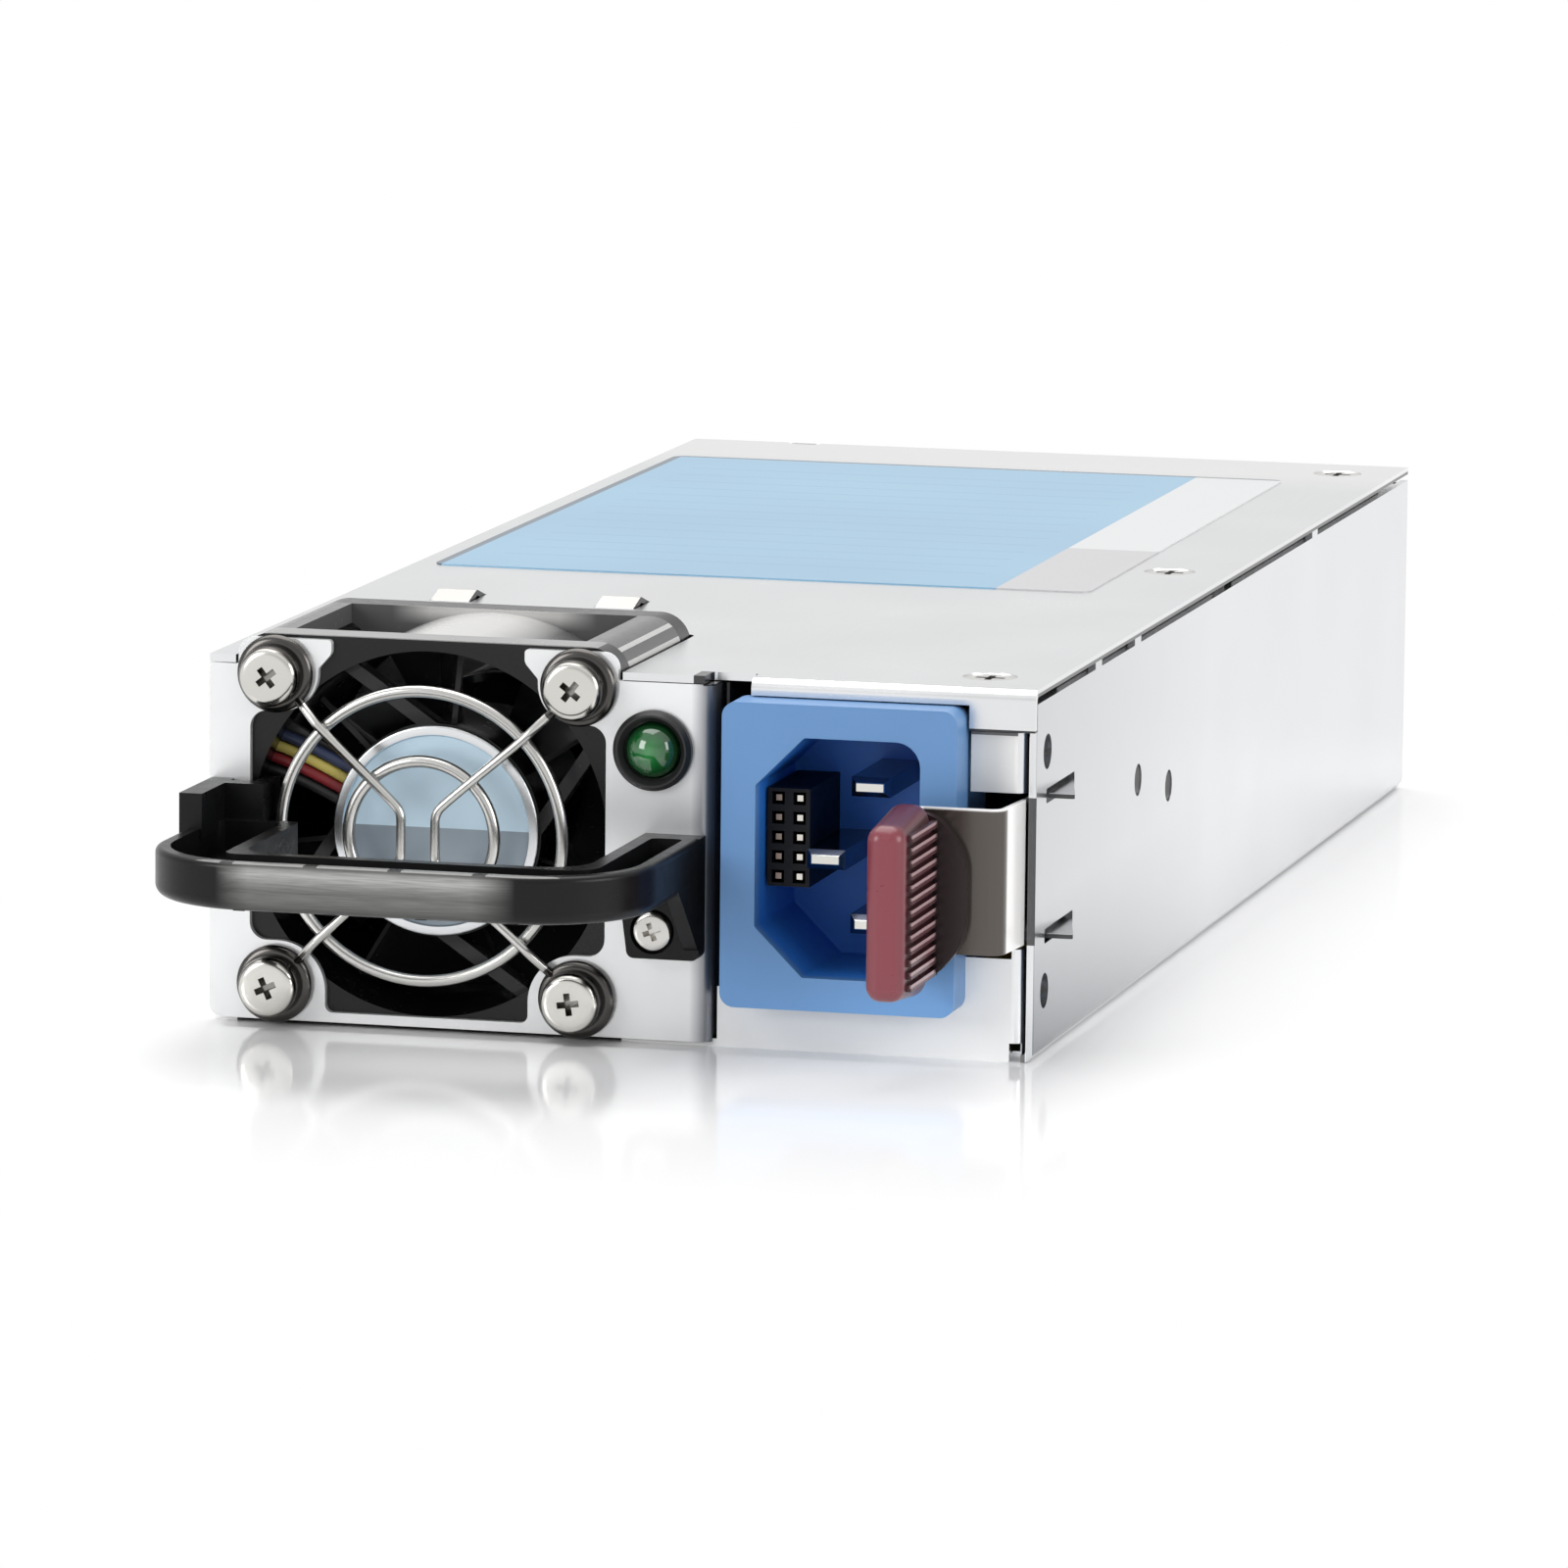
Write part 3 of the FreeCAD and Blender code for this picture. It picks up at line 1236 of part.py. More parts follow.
def rounded_rim(bar, height, radius):
    """Rounds the bar's outer edge at one height, round the front and both corners."""
    front = FRONT - HANDLE_REACH
    edges = []
    for edge in bar.Edges:
        bounds = edge.BoundBox
        level = abs(bounds.ZMin - height) < 0.01 and abs(bounds.ZMax - height) < 0.01
        outer = bounds.YMin < front + 0.1 and bounds.YMax < front + HANDLE_CORNER + 0.1
        if level and outer and bounds.XLength > HANDLE_CORNER - 0.5:
            edges.append(edge)
    return bar.makeFillet(radius, edges)


def handle():
    """One moulded piece: a U-shaped channel with ribs, a hook at the left and a screwed foot at the right."""
    bar = top_plate(handle_plan(), HANDLE_BOTTOM, HANDLE_TOP)
    bar = rounded_rim(bar, HANDLE_BOTTOM, HANDLE_ROUND)
    bar = rounded_rim(bar, HANDLE_TOP, HANDLE_ROUND / 2)
    hollow = top_plate(handle_hollow(), HANDLE_BOTTOM + HANDLE_WALL, HANDLE_TOP + 1)
    shell = bar.cut(hollow)
    whole = join([shell] + handle_ribs() + handle_foot() + handle_hook())
    x = LEFT + FOOT_SCREW_FROM_LEFT
    z = FOOT_SCREW_HEIGHT
    bore = rod(1.5, (x, FRONT - 9, z), (x, FRONT + 1, z))
    seat = rod(2.3, (x, FRONT - 9, z), (x, FRONT - 0.9, z))
    return whole.cut([bore, seat])


def handle_screw():
    x = LEFT + FOOT_SCREW_FROM_LEFT
    return pan_screw(x, FRONT - 0.9, FOOT_SCREW_HEIGHT, 2.1, 1.7, 1.4, 5.0)


# Mains inlet

def socket_left():
    return INLET_X - SOCKET_WIDTH / 2 - 0.1


def socket_outline():
    """The recess for the plug, cut back at the two corners on the earth side."""
    left = socket_left()
    right = left + SOCKET_WIDTH
    low = INLET_Z - SOCKET_HEIGHT / 2
    high = INLET_Z + SOCKET_HEIGHT / 2
    return [
        (left + SOCKET_CHAMFER, low, 0.4),
        (right, low, SOCKET_CORNER),
        (right, high, SOCKET_CORNER),
        (left + SOCKET_CHAMFER, high, 0.4),
        (left, high - SOCKET_CHAMFER, 0.4),
        (left, low + SOCKET_CHAMFER, 0.4),
    ]


def blade_x():
    return socket_left() + SOCKET_WIDTH - BLADE_FROM_SOCKET_RIGHT


def blade(x, z, front):
    """A flat contact blade with a bevelled tip, and its tab behind the housing."""
    half = BLADE_WIDTH / 2
    tall = BLADE_HEIGHT / 2
    bevel = 0.6
    rear = INLET_REAR + 5.5
    body = box(x - half, front, z - tall, x + half, rear, z + tall)
    edges = []
    for edge in body.Edges:
        if edge.BoundBox.YMax < front + 0.01:
            edges.append(edge)
    return body.makeChamfer(bevel, edges)


def contact_blades():
    """Two power blades, and the earth blade that makes contact first."""
    blades = []
    for side in (-1, 1):
        blades.append(blade(blade_x(), INLET_Z + side * BLADE_PITCH / 2, INLET_FRONT + BLADE_RECESS))
    blades.append(blade(blade_x() - EARTH_OFFSET, INLET_Z - EARTH_DROP, INLET_FRONT + EARTH_RECESS))
    return group(blades)


def signal_spots():
    left = socket_left() + 0.3
    middle = INLET_Z + 1.4
    spots = []
    for column in (1.1, 3.3):
        for row in range(SIGNAL_ROWS):
            spots.append((left + column, middle + (row - (SIGNAL_ROWS - 1) / 2) * SIGNAL_PITCH))
    return spots


def signal_pins(front):
    half = CONTACT / 2
    pins = []
    for x, z in signal_spots():
        pins.append(box(x - half, front, z - half, x + half, INLET_REAR + 3.0, z + half))
    return pins


def signal_block():
    left = socket_left() + 0.3
    low = INLET_Z + 1.4 - SIGNAL_HEIGHT / 2
    front = INLET_FRONT + SIGNAL_RECESS
    body = box(left, front, low, left + SIGNAL_WIDTH - 0.6, SOCKET_FLOOR, low + SIGNAL_HEIGHT)
    cuts = signal_pins(front - 1)
    for x, z in signal_spots():
        cuts.append(box(x - 0.65, front - 1, z - 0.65, x + 0.65, front + 7, z + 0.65))
    return body.cut(cuts)


def signal_contacts():
    return group(signal_pins(INLET_FRONT + SIGNAL_RECESS + 0.3))


def inlet_housing():
    left = LEFT + INLET_LEFT
    step = INLET_STEP
    front = front_plate(
        rectangle(left, INLET_BOTTOM, INLET_RIGHT, INLET_TOP, INLET_CORNER), INLET_FRONT, TRAY_FRONT
    )
    waist = rectangle(left + step, INLET_BOTTOM + step, INLET_RIGHT - step, INLET_TOP - step, 0.8)
    rear = front_plate(waist, TRAY_FRONT - 1, INLET_REAR)
    body = join([front, rear])
    cuts = [front_plate(socket_outline(), INLET_FRONT - 1, SOCKET_FLOOR)]
    for side in (-1, 0, 1):
        x = blade_x() - (EARTH_OFFSET if side == 0 else 0)
        z = INLET_Z + side * BLADE_PITCH / 2 - (EARTH_DROP if side == 0 else 0)
        half = BLADE_WIDTH / 2
        tall = BLADE_HEIGHT / 2
        cuts.append(box(x - half, SOCKET_FLOOR - 1, z - tall, x + half, INLET_REAR + 1, z + tall))
    return body.cut(cuts + signal_pins(SOCKET_FLOOR - 1))


def inlet_leads():
    """Three leads from the tabs behind the inlet down to the main board."""
    leads = []
    spots = (
        (blade_x() - 0.2, INLET_Z + BLADE_PITCH / 2, 4.0),
        (blade_x() - 0.2, INLET_Z - BLADE_PITCH / 2, 0.0),
        (blade_x() - EARTH_OFFSET - 0.2, INLET_Z - EARTH_DROP, -1.6),
    )
    bend = 6 * INLET_LEAD_RADIUS
    y0 = INLET_REAR + 5.5
    y1 = y0 + bend + 0.2
    for x, z, shift in spots:
        points = [(x, y0, z), (x, y1, z)]
        if shift:
            points.append((x + shift, y1, (z + BOARD_TOP) / 2))
        points.append((x + shift, y1, BOARD_TOP))
        radii = [0] + [bend] * (len(points) - 2) + [0]
        leads.append(swept(points, radii, INLET_LEAD_RADIUS, 6))
    return group(leads)


# Latch

def leaf_plan():
    """Centre line of the spring strip in plan: along the wall, across the front, and into the grip."""
    nose = FRONT - LEAF_NOSE
    return [
        (LEAF_X, FRONT + LEAF_ROOT),
        (LEAF_X, FRONT + 1.5),
        (LEAF_X - LEAF_LEAN, nose),
        (grip_left() + GRIP_THICKNESS / 2, nose),
        (grip_left() + GRIP_THICKNESS / 2, FRONT - GRIP_REACH + 4.0),
    ]


def grip_left():
    return RIGHT - GRIP_RIGHT_INSET - GRIP_THICKNESS


def strip(points, radii, z0, z1):
    """A bent strip of spring steel: its centre line is thickened both ways and extruded up."""
    path = run([Vector(x, y, z0) for x, y in points], radii, False)
    start = Vector(points[0][0], points[0][1], z0)
    along = (Vector(points[1][0], points[1][1], z0) - start).normalize()
    side = along.cross(Vector(0, 0, 1)) * (LEAF / 2)
    rise = Vector(0, 0, z1 - z0)
    outer = start + side
    inner = start - side
    section = Part.makePolygon([inner, outer, outer + rise, inner + rise, inner])
    return path.makePipeShell([section], True, False)


def barb(height):
    """A tooth folded out of the strip's edge: square to the front, sloping back to the wall."""
    root = LEAF_X + LEAF / 2 - 0.1
    front = FRONT + BARB_FRONT
    plan = [
        (root, front, 0),
        (RIGHT + BARB_PROUD, front, 0.3),
        (RIGHT, front + BARB_LENGTH, 0),
        (root, front + BARB_LENGTH, 0),
    ]
    return top_plate(plan, height, height + BARB_THICKNESS)


def latch_leaf():
    return strip(leaf_plan(), [0, 6, 1.2, 0.8, 0], LEAF_BOTTOM, LEAF_TOP)


def latch_spring():
    return join([latch_leaf()] + [barb(height) for height in BARB_HEIGHTS])


def latch_anchor():
    """The riveted root of the strip, held off the wall by two pressed pads."""
    start = FRONT + LEAF_ROOT + 0.3
    plate = box(LEAF_X - LEAF / 2, start, LEAF_BOTTOM, LEAF_X + LEAF / 2, start + ANCHOR_LENGTH, LEAF_TOP)
    pads = []
    holes = []
    for place, height in RIVETS:
        y = FRONT + place
        pads.append(rod(2.6, (LEAF_X, y, height), (RIGHT - SHEET, y, height)))
        holes.append(rod(RIVET_RADIUS, (LEAF_X - 2, y, height), (RIGHT, y, height)))
    return join([plate] + pads).cut(holes)


def latch_rivets():
    rivets = []
    for place, height in RIVETS:
        y = FRONT + place
        inside = LEAF_X - LEAF / 2
        shank = rod(RIVET_RADIUS, (inside - 0.5, y, height), (RIGHT - 0.15, y, height))
        inner = rod(RIVET_HEAD + 0.4, (inside - 0.6, y, height), (inside, y, height))
        outer = rod(RIVET_HEAD, (RIGHT - SHEET / 2, y, height), (RIGHT - 0.15, y, height))
        rivets.append(join([shank, inner, outer]))
    return group(rivets)


def latch_grip():
    """Moulded grip: a blade with a rounded front edge, ribs for the thumb and a flange on the strip."""
    left = grip_left()
    right = left + GRIP_THICKNESS
    front = FRONT - GRIP_REACH
    seat = FRONT - LEAF_NOSE - LEAF / 2
    low = GRIP_BOTTOM
    high = GRIP_BOTTOM + GRIP_HEIGHT
    side = [
        (front, low, 1.6),
        (front, high, 1.6),
        (seat - 3.4, high + 1.2, 3.0),
        (seat, high - 2.4, 0),
        (seat, low + 2.4, 0),
        (seat - 3.4, low - 1.0, 3.0),
    ]
    body = side_plate(side, left, right)
    front_edges = []
    for edge in body.Edges:
        bounds = edge.BoundBox
        if bounds.YLength < 0.01 and bounds.ZLength > 5 and bounds.YMax < front + 0.1:
            front_edges.append(edge)
    body = body.makeFillet(1.5, front_edges)
    flange = front_plate(grip_flange(left, low, high), seat - 1.4, seat)
    ribs = []
    pitch = (GRIP_HEIGHT - 2.4) / (GRIP_RIBS - 1)
    for i in range(GRIP_RIBS):
        z = low + 1.2 + pitch * i
        ribs.append(box(right - 0.2, front + 2.2, z - 0.35, right + 0.5, seat - 1.0, z + 0.35))
    return join([body, flange] + ribs).cut(latch_leaf())


def grip_flange(left, low, high):
    """D-shaped foot of the grip, rounded on its right."""
    bulge = GRIP_THICKNESS + 3.4
    return [
        (left, low + 0.4, 0),
        (left + bulge * 0.55, low + 0.4, 3.6),
        (left + bulge, (low + high) / 2 - 4.5, 6.0),
        (left + bulge, (low + high) / 2 + 4.5, 6.0),
        (left + bulge * 0.55, high - 0.2, 3.6),
        (left, high - 0.2, 0),
    ]


# Main board and what stands on it

def standoff_spots():
    spots = []
    for x in (LEFT + STANDOFF_FROM_LEFT, RIGHT - STANDOFF_FROM_RIGHT):
        for y in (FRONT + STANDOFF_FROM_FRONT, REAR - STANDOFF_FROM_REAR):
            spots.append((x, y))
    return spots


def main_board():
    tongue = TONGUE_WIDTH / 2
    left = LEFT + SHEET + BOARD_SIDE_GAP
    right = RIGHT - SHEET - BOARD_RIGHT_GAP
    rear = REAR - BOARD_FROM_REAR
    tip = REAR + TONGUE_LENGTH
    outline = [
        (left, FRONT + BOARD_FRONT, 0),
        (LEFT + BOARD_NOSE_LEFT, FRONT + BOARD_FRONT, 0),
        (LEFT + BOARD_NOSE_LEFT, FRONT + BOARD_NOSE_FRONT, 0),
        (right, FRONT + BOARD_NOSE_FRONT, 0),
        (right, rear, 0),
        (tongue, rear, 0),
        (tongue, tip, TONGUE_CORNER),
        (-tongue, tip, TONGUE_CORNER),
        (-tongue, rear, 0),
        (left, rear, 0),
    ]
    board = top_plate(outline, BOARD_HEIGHT, BOARD_TOP)
    radius = STANDOFF_BORE + FIT
    holes = [rod(radius, (x, y, BOARD_HEIGHT - 1), (x, y, BOARD_TOP + 1)) for x, y in standoff_spots()]
    return board.cut(holes)


def card_edge_contacts():
    """Plated contacts on both faces of the tongue, in two groups with a gap between."""
    contacts = []
    count = int((TONGUE_WIDTH - TONGUE_MARGIN) / FINGER_PITCH)
    for i in range(count):
        x = (i - (count - 1) / 2) * FINGER_PITCH
        if i == int(count * KEY_PLACE):
            continue
        for z in (BOARD_HEIGHT - FINGER_THICKNESS, BOARD_TOP):
            y1 = REAR + TONGUE_LENGTH - FINGER_SETBACK
            half = FINGER_WIDTH / 2
            contacts.append(box(x - half, y1 - FINGER_LENGTH, z, x + half, y1, z + FINGER_THICKNESS))
    return group(contacts)


def board_standoffs():
    posts = []
    for x, y in standoff_spots():
        corners = []
        for i in range(6):
            angle = i * math.pi / 3
            corners.append((x + STANDOFF_RADIUS * math.cos(angle), y + STANDOFF_RADIUS * math.sin(angle), 0))
        post = top_plate(corners, SHEET, BOARD_HEIGHT)
        posts.append(post.cut(rod(STANDOFF_BORE, (x, y, SHEET), (x, y, BOARD_HEIGHT + 1))))
    return group(posts)


def board_screws():
    screws = []
    top = BOARD_TOP + BOARD_SCREW_HEAD_HEIGHT
    for x, y in standoff_spots():
        head = rod(BOARD_SCREW_HEAD_RADIUS, (x, y, BOARD_TOP), (x, y, top))
        shank = rod(STANDOFF_BORE - FIT / 2, (x, y, 1.5 * SHEET), (x, y, BOARD_TOP))
        cross = cross_slots((x, y, top), "z", BOARD_SCREW_CROSS, BOARD_SCREW_SLOT, 1.0)
        screws.append(join([head, shank]).cut(cross))
    return group(screws)


def wound_core(x, y, width, depth, height, overhang):
    """An E core on the board, and the winding that fills its two windows round the middle leg."""
    z0 = BOARD_TOP
    z1 = z0 + height
    leg = width * 0.15
    middle = width * 0.14
    yoke = height * 0.2
    core = box(x - width / 2, y - depth / 2, z0, x + width / 2, y + depth / 2, z1)
    windows = []
    for side in (-1, 1):
        near = x + side * middle
        far = x + side * (width / 2 - leg)
        window = box(min(near, far), y - depth, z0 + yoke, max(near, far), y + depth, z1 - yoke)
        windows.append(window)
    core = core.cut(windows)
    half = width / 2 - leg
    long = depth / 2 + overhang
    coil = top_plate(rectangle(x - half, y - long, x + half, y + long, overhang * 0.8), z0 + yoke, z1 - yoke)
    post = box(x - middle, y - depth / 2, z0, x + middle, y + depth / 2, z1)
    return core, coil.cut(post)


def board_block(x, y, width, depth, height):
    return box(x, y, BOARD_TOP, x + width, y + depth, BOARD_TOP + height)


def bulk_capacitor():
    """Can lying on the board, with the rolled groove near its rubber end."""
    x, y = BULK_PLACE
    edge = GROOVE_HALF_WIDTH
    profile = [
        (0, 0),
        (BULK_RADIUS - edge, 0),
        (BULK_RADIUS, edge),
        (BULK_RADIUS, GROOVE_PLACE - edge),
        (BULK_RADIUS - GROOVE_DEPTH, GROOVE_PLACE),
        (BULK_RADIUS, GROOVE_PLACE + edge),
        (BULK_RADIUS, BULK_LENGTH - BULK_ROUND),
        (BULK_RADIUS - BULK_ROUND, BULK_LENGTH),
        (0, BULK_LENGTH),
    ]
    return turned(profile, (x, y, BOARD_TOP + BULK_RADIUS), (0, 1, 0))


def x_capacitor():
    """Moulded box with rounded upright edges."""
    body = board_block(*X_CAPACITOR)
    height = X_CAPACITOR[4]
    edges = [edge for edge in body.Edges if edge.BoundBox.ZLength > height / 2]
    return body.makeFillet(1.0, edges)


def fuse():
    """Glass fuse between two end caps on the board."""
    x, y = FUSE_PLACE
    z = BOARD_TOP + FUSE_CAP_RADIUS
    inside = FUSE_CAP_LENGTH / 2
    tube = rod(FUSE_RADIUS, (x + inside, y, z), (x + FUSE_LENGTH - inside, y, z))
    caps = []
    for start in (x, x + FUSE_LENGTH - FUSE_CAP_LENGTH):
        caps.append(rod(FUSE_CAP_RADIUS, (start, y, z), (start + FUSE_CAP_LENGTH, y, z)))
    return join([tube] + caps)


def relay():
    """Moulded box with a chamfer round its top."""
    body = board_block(*RELAY)
    height = RELAY[4]
    edges = [edge for edge in body.Edges if edge.BoundBox.ZMin > BOARD_TOP + height / 2]
    return body.makeChamfer(0.8, edges)


def comb_heatsink(x, y, length, height, reach, fins):
    """Extruded aluminium plate that stands on the board, with fins to its left."""
    pieces = [board_block(x, y, HEATSINK_THICKNESS, length, height)]
    pitch = (length - FIN_THICKNESS) / (fins - 1)
    root = x + HEATSINK_THICKNESS / 4
    foot = BOARD_TOP + FIN_FOOT
    for i in range(fins):
        start = y + pitch * i
        pieces.append(box(x - reach, start, foot, root, start + FIN_THICKNESS, BOARD_TOP + height))
    return join(pieces)


def power_package(y, width):
    """A flat package against the primary heatsink, with its legs in the board."""
    x = PRIMARY_HEATSINK[0] + HEATSINK_THICKNESS
    foot = BOARD_TOP + PACKAGE_FOOT
    body = box(x, y, foot, x + PACKAGE_THICKNESS, y + width, foot + PACKAGE_HEIGHT)
    legs = []
    leg_x = x + PACKAGE_LEG_SETBACK
    for share in (0.2, 0.5, 0.8):
        leg_y = y + width * share - PACKAGE_LEG_WIDTH / 2
        end_x = leg_x + PACKAGE_LEG_THICKNESS
        legs.append(box(leg_x, leg_y, BOARD_TOP, end_x, leg_y + PACKAGE_LEG_WIDTH, foot + 0.5))
    return join([body] + legs)


def primary_transistors():
    return group([power_package(FRONT + place, TRANSISTOR_WIDTH) for place in TRANSISTORS_FROM_FRONT])


def output_capacitors():
    edge = OUTPUT_CAN_ROUND
    profile = [
        (0, 0),
        (OUTPUT_CAN_RADIUS, 0),
        (OUTPUT_CAN_RADIUS, OUTPUT_CAN_HEIGHT - edge),
        (OUTPUT_CAN_RADIUS - edge, OUTPUT_CAN_HEIGHT),
        (0, OUTPUT_CAN_HEIGHT),
    ]
    cans = []
    for i in range(OUTPUT_CANS):
        x = LEFT + OUTPUT_CANS_FROM_LEFT + OUTPUT_CAN_PITCH * i
        cans.append(turned(profile, (x, REAR - OUTPUT_CANS_FROM_REAR, BOARD_TOP), (0, 0, 1)))
    return group(cans)


def output_busbar():
    """Copper strap that stands on edge along the outputs, with feet in the board."""
    left = LEFT + BUSBAR_FROM_LEFT
    right = RIGHT - BUSBAR_FROM_RIGHT
    y = REAR - BUSBAR_FROM_REAR
    back = y + BUSBAR_THICKNESS
    under = BOARD_TOP + BUSBAR_FOOT
    pieces = [box(left, y, under, right, back, BOARD_TOP + BUSBAR_HEIGHT)]
    inset = BUSBAR_FOOT_WIDTH / 2
    pitch = (right - left - 2 * inset - BUSBAR_FOOT_WIDTH) / (BUSBAR_FEET - 1)
    for i in range(BUSBAR_FEET):
        x = left + inset + pitch * i
        pieces.append(box(x, y, BOARD_TOP, x + BUSBAR_FOOT_WIDTH, back, under + 0.5))
    return join(pieces)


def control_board():
    """Upright board beside the left wall, with its chips."""
    board = board_block(*CONTROL_BOARD)
    x, y, thickness = CONTROL_BOARD[:3]
    chips = []
    for along, height, size in CHIPS:
        z = BOARD_TOP + height
        start = x + thickness / 2
        chips.append(box(start, y + along, z, x + thickness + CHIP_PROUD, y + along + size, z + size))
    return join([board] + chips)


# Output

save("chassis_tray", chassis_tray())
save("top_cover", top_cover())
save("cover_screws", cover_screws())
save("rear_panel", rear_panel())
save("insulator_sheet", insulator_sheet())
save("fan_frame", fan_frame())
save("fan_impeller", fan_impeller())
save("fan_shaft", fan_shaft())
save("fan_magnet_ring", fan_magnet_ring())
save("fan_bearings", fan_bearings())
save("fan_stator", fan_stator())
save("fan_coils", fan_coils())
save("fan_circuit_board", fan_circuit_board())
for lead in range(len(LEADS)):
    save(LEADS[lead], fan_lead(lead))
    print(LEADS[lead], "bend radii", lead_route(lead)[1][1:-1], "mm, lead diameter", 2 * LEAD_RADIUS)
save("fan_plug", fan_plug())
save("fan_plate", fan_plate())
save("finger_guard", finger_guard())
save("guard_screws", guard_screws())
save("led_bezel", led_bezel())
save("led_lens", led_lens())
save("led_board", led_board())
save("handle", handle())
save("handle_screw", handle_screw())
save("inlet_housing", inlet_housing())
save("contact_blades", contact_blades())
save("signal_block", signal_block())
save("signal_contacts", signal_contacts())
save("inlet_leads", inlet_leads())
save("latch_spring", latch_spring())
save("latch_anchor", latch_anchor())
save("latch_rivets", latch_rivets())
save("latch_grip", latch_grip())
save("main_board", main_board())
save("card_edge_contacts", card_edge_contacts())
save("board_standoffs", board_standoffs())
save("board_screws", board_screws())
for name, sizes in (
    ("transformer", TRANSFORMER),
    ("pfc_choke", PFC_CHOKE),
    ("emi_choke", EMI_CHOKE),
    ("standby_transformer", STANDBY_TRANSFORMER),
    ("output_choke", OUTPUT_CHOKE),
):
    core, winding = wound_core(*sizes)
    save(name + "_core", core)
    save(name + "_winding", winding)
save("bulk_capacitor", bulk_capacitor())
save("x_capacitor", x_capacitor())
save("fuse", fuse())
save("relay", relay())
save("primary_heatsink", comb_heatsink(*PRIMARY_HEATSINK, PRIMARY_FINS))
save("rectifier_heatsink", comb_heatsink(*RECTIFIER_HEATSINK, RECTIFIER_FINS))
save("primary_transistors", primary_transistors())
save("bridge_rectifier", power_package(FRONT + BRIDGE_FROM_FRONT, BRIDGE_WIDTH))
save("output_capacitors", output_capacitors())
save("output_busbar", output_busbar())
save("control_board", control_board())
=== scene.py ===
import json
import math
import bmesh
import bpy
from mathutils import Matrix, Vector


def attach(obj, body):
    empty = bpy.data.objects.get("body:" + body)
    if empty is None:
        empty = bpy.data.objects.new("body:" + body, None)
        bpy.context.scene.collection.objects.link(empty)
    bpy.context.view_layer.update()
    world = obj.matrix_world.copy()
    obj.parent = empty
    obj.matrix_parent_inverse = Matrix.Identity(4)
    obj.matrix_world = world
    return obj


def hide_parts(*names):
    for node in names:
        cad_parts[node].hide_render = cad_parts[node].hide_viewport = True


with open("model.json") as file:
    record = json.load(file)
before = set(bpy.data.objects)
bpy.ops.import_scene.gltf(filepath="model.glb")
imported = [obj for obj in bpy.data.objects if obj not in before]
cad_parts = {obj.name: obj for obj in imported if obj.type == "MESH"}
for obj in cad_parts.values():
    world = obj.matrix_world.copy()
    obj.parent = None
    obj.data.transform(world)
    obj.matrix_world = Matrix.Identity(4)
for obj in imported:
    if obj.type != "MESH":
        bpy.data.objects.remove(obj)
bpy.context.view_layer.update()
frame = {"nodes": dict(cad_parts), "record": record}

# %% [markdown]
# # A hot swap server power supply
#
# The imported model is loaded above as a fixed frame: every CAD node is already in its place, in
# metres, with +X to the right seen from the front, +Y to the rear and +Z up. This lesson adds the
# camera, the light, the finishes, and the pieces that a CAD model draws too plainly: round guard
# wires, pan head screws, the motor's badge, the fan's leads and the label on the cover. Sizes and
# places are written in millimetres, as a maker measures them, and `MM` turns them into metres.

MM = 0.001
nodes = frame["nodes"]


print("CAD nodes:", len(nodes))

# %% [markdown]
# ## The camera
#
# The photograph was taken with a long lens, a little above the part and to the right of its
# front. Straight edges of the case gave the camera's place, so the same place is used here.
# A camera looks along its own -Z, with its own +Y up. The three axes are worked out from the two
# angles and a small roll, and they become the columns of its matrix.

# %% Camera
CAMERA_PLACE = Vector((281.8, -1143.6, 191.3)) * MM
AZIMUTH = math.radians(14.18)
ELEVATION = math.radians(8.62)
ROLL = math.radians(0.59)
LENS = 248.7
LENS_SHIFT = (-0.0008, -0.0020)
NEAREST, FURTHEST = 0.01, 20

lens = bpy.data.cameras.new("product_lens")
camera = bpy.data.objects.new("product_camera", lens)
bpy.context.collection.objects.link(camera)
bpy.context.scene.camera = camera
back = Vector((
    math.sin(AZIMUTH) * math.cos(ELEVATION),
    -math.cos(AZIMUTH) * math.cos(ELEVATION),
    math.sin(ELEVATION),
))
right = (-back).cross(Vector((0, 0, 1))).normalized()
up = right.cross(-back)
tilted_right = math.cos(ROLL) * right + math.sin(ROLL) * up
tilted_up = math.cos(ROLL) * up - math.sin(ROLL) * right
turn = Matrix((tilted_right, tilted_up, back)).transposed().to_4x4()
camera.matrix_world = Matrix.Translation(CAMERA_PLACE) @ turn
lens.lens = LENS
lens.shift_x, lens.shift_y = LENS_SHIFT
lens.clip_start = NEAREST
lens.clip_end = FURTHEST
bpy.context.scene.view_settings.view_transform = "Standard"
print("camera to the middle of the case:", round(CAMERA_PLACE.length, 3), "m")

# %% [markdown]
# ## A way to write shader maths
#
# Node trees are easier to read as expressions. `Value` holds a node's output and knows how to add,
# subtract, multiply, divide and compare. `Tree` adds any node through its `node` method: settings
# are set first, then inputs are filled with numbers or linked to other values.

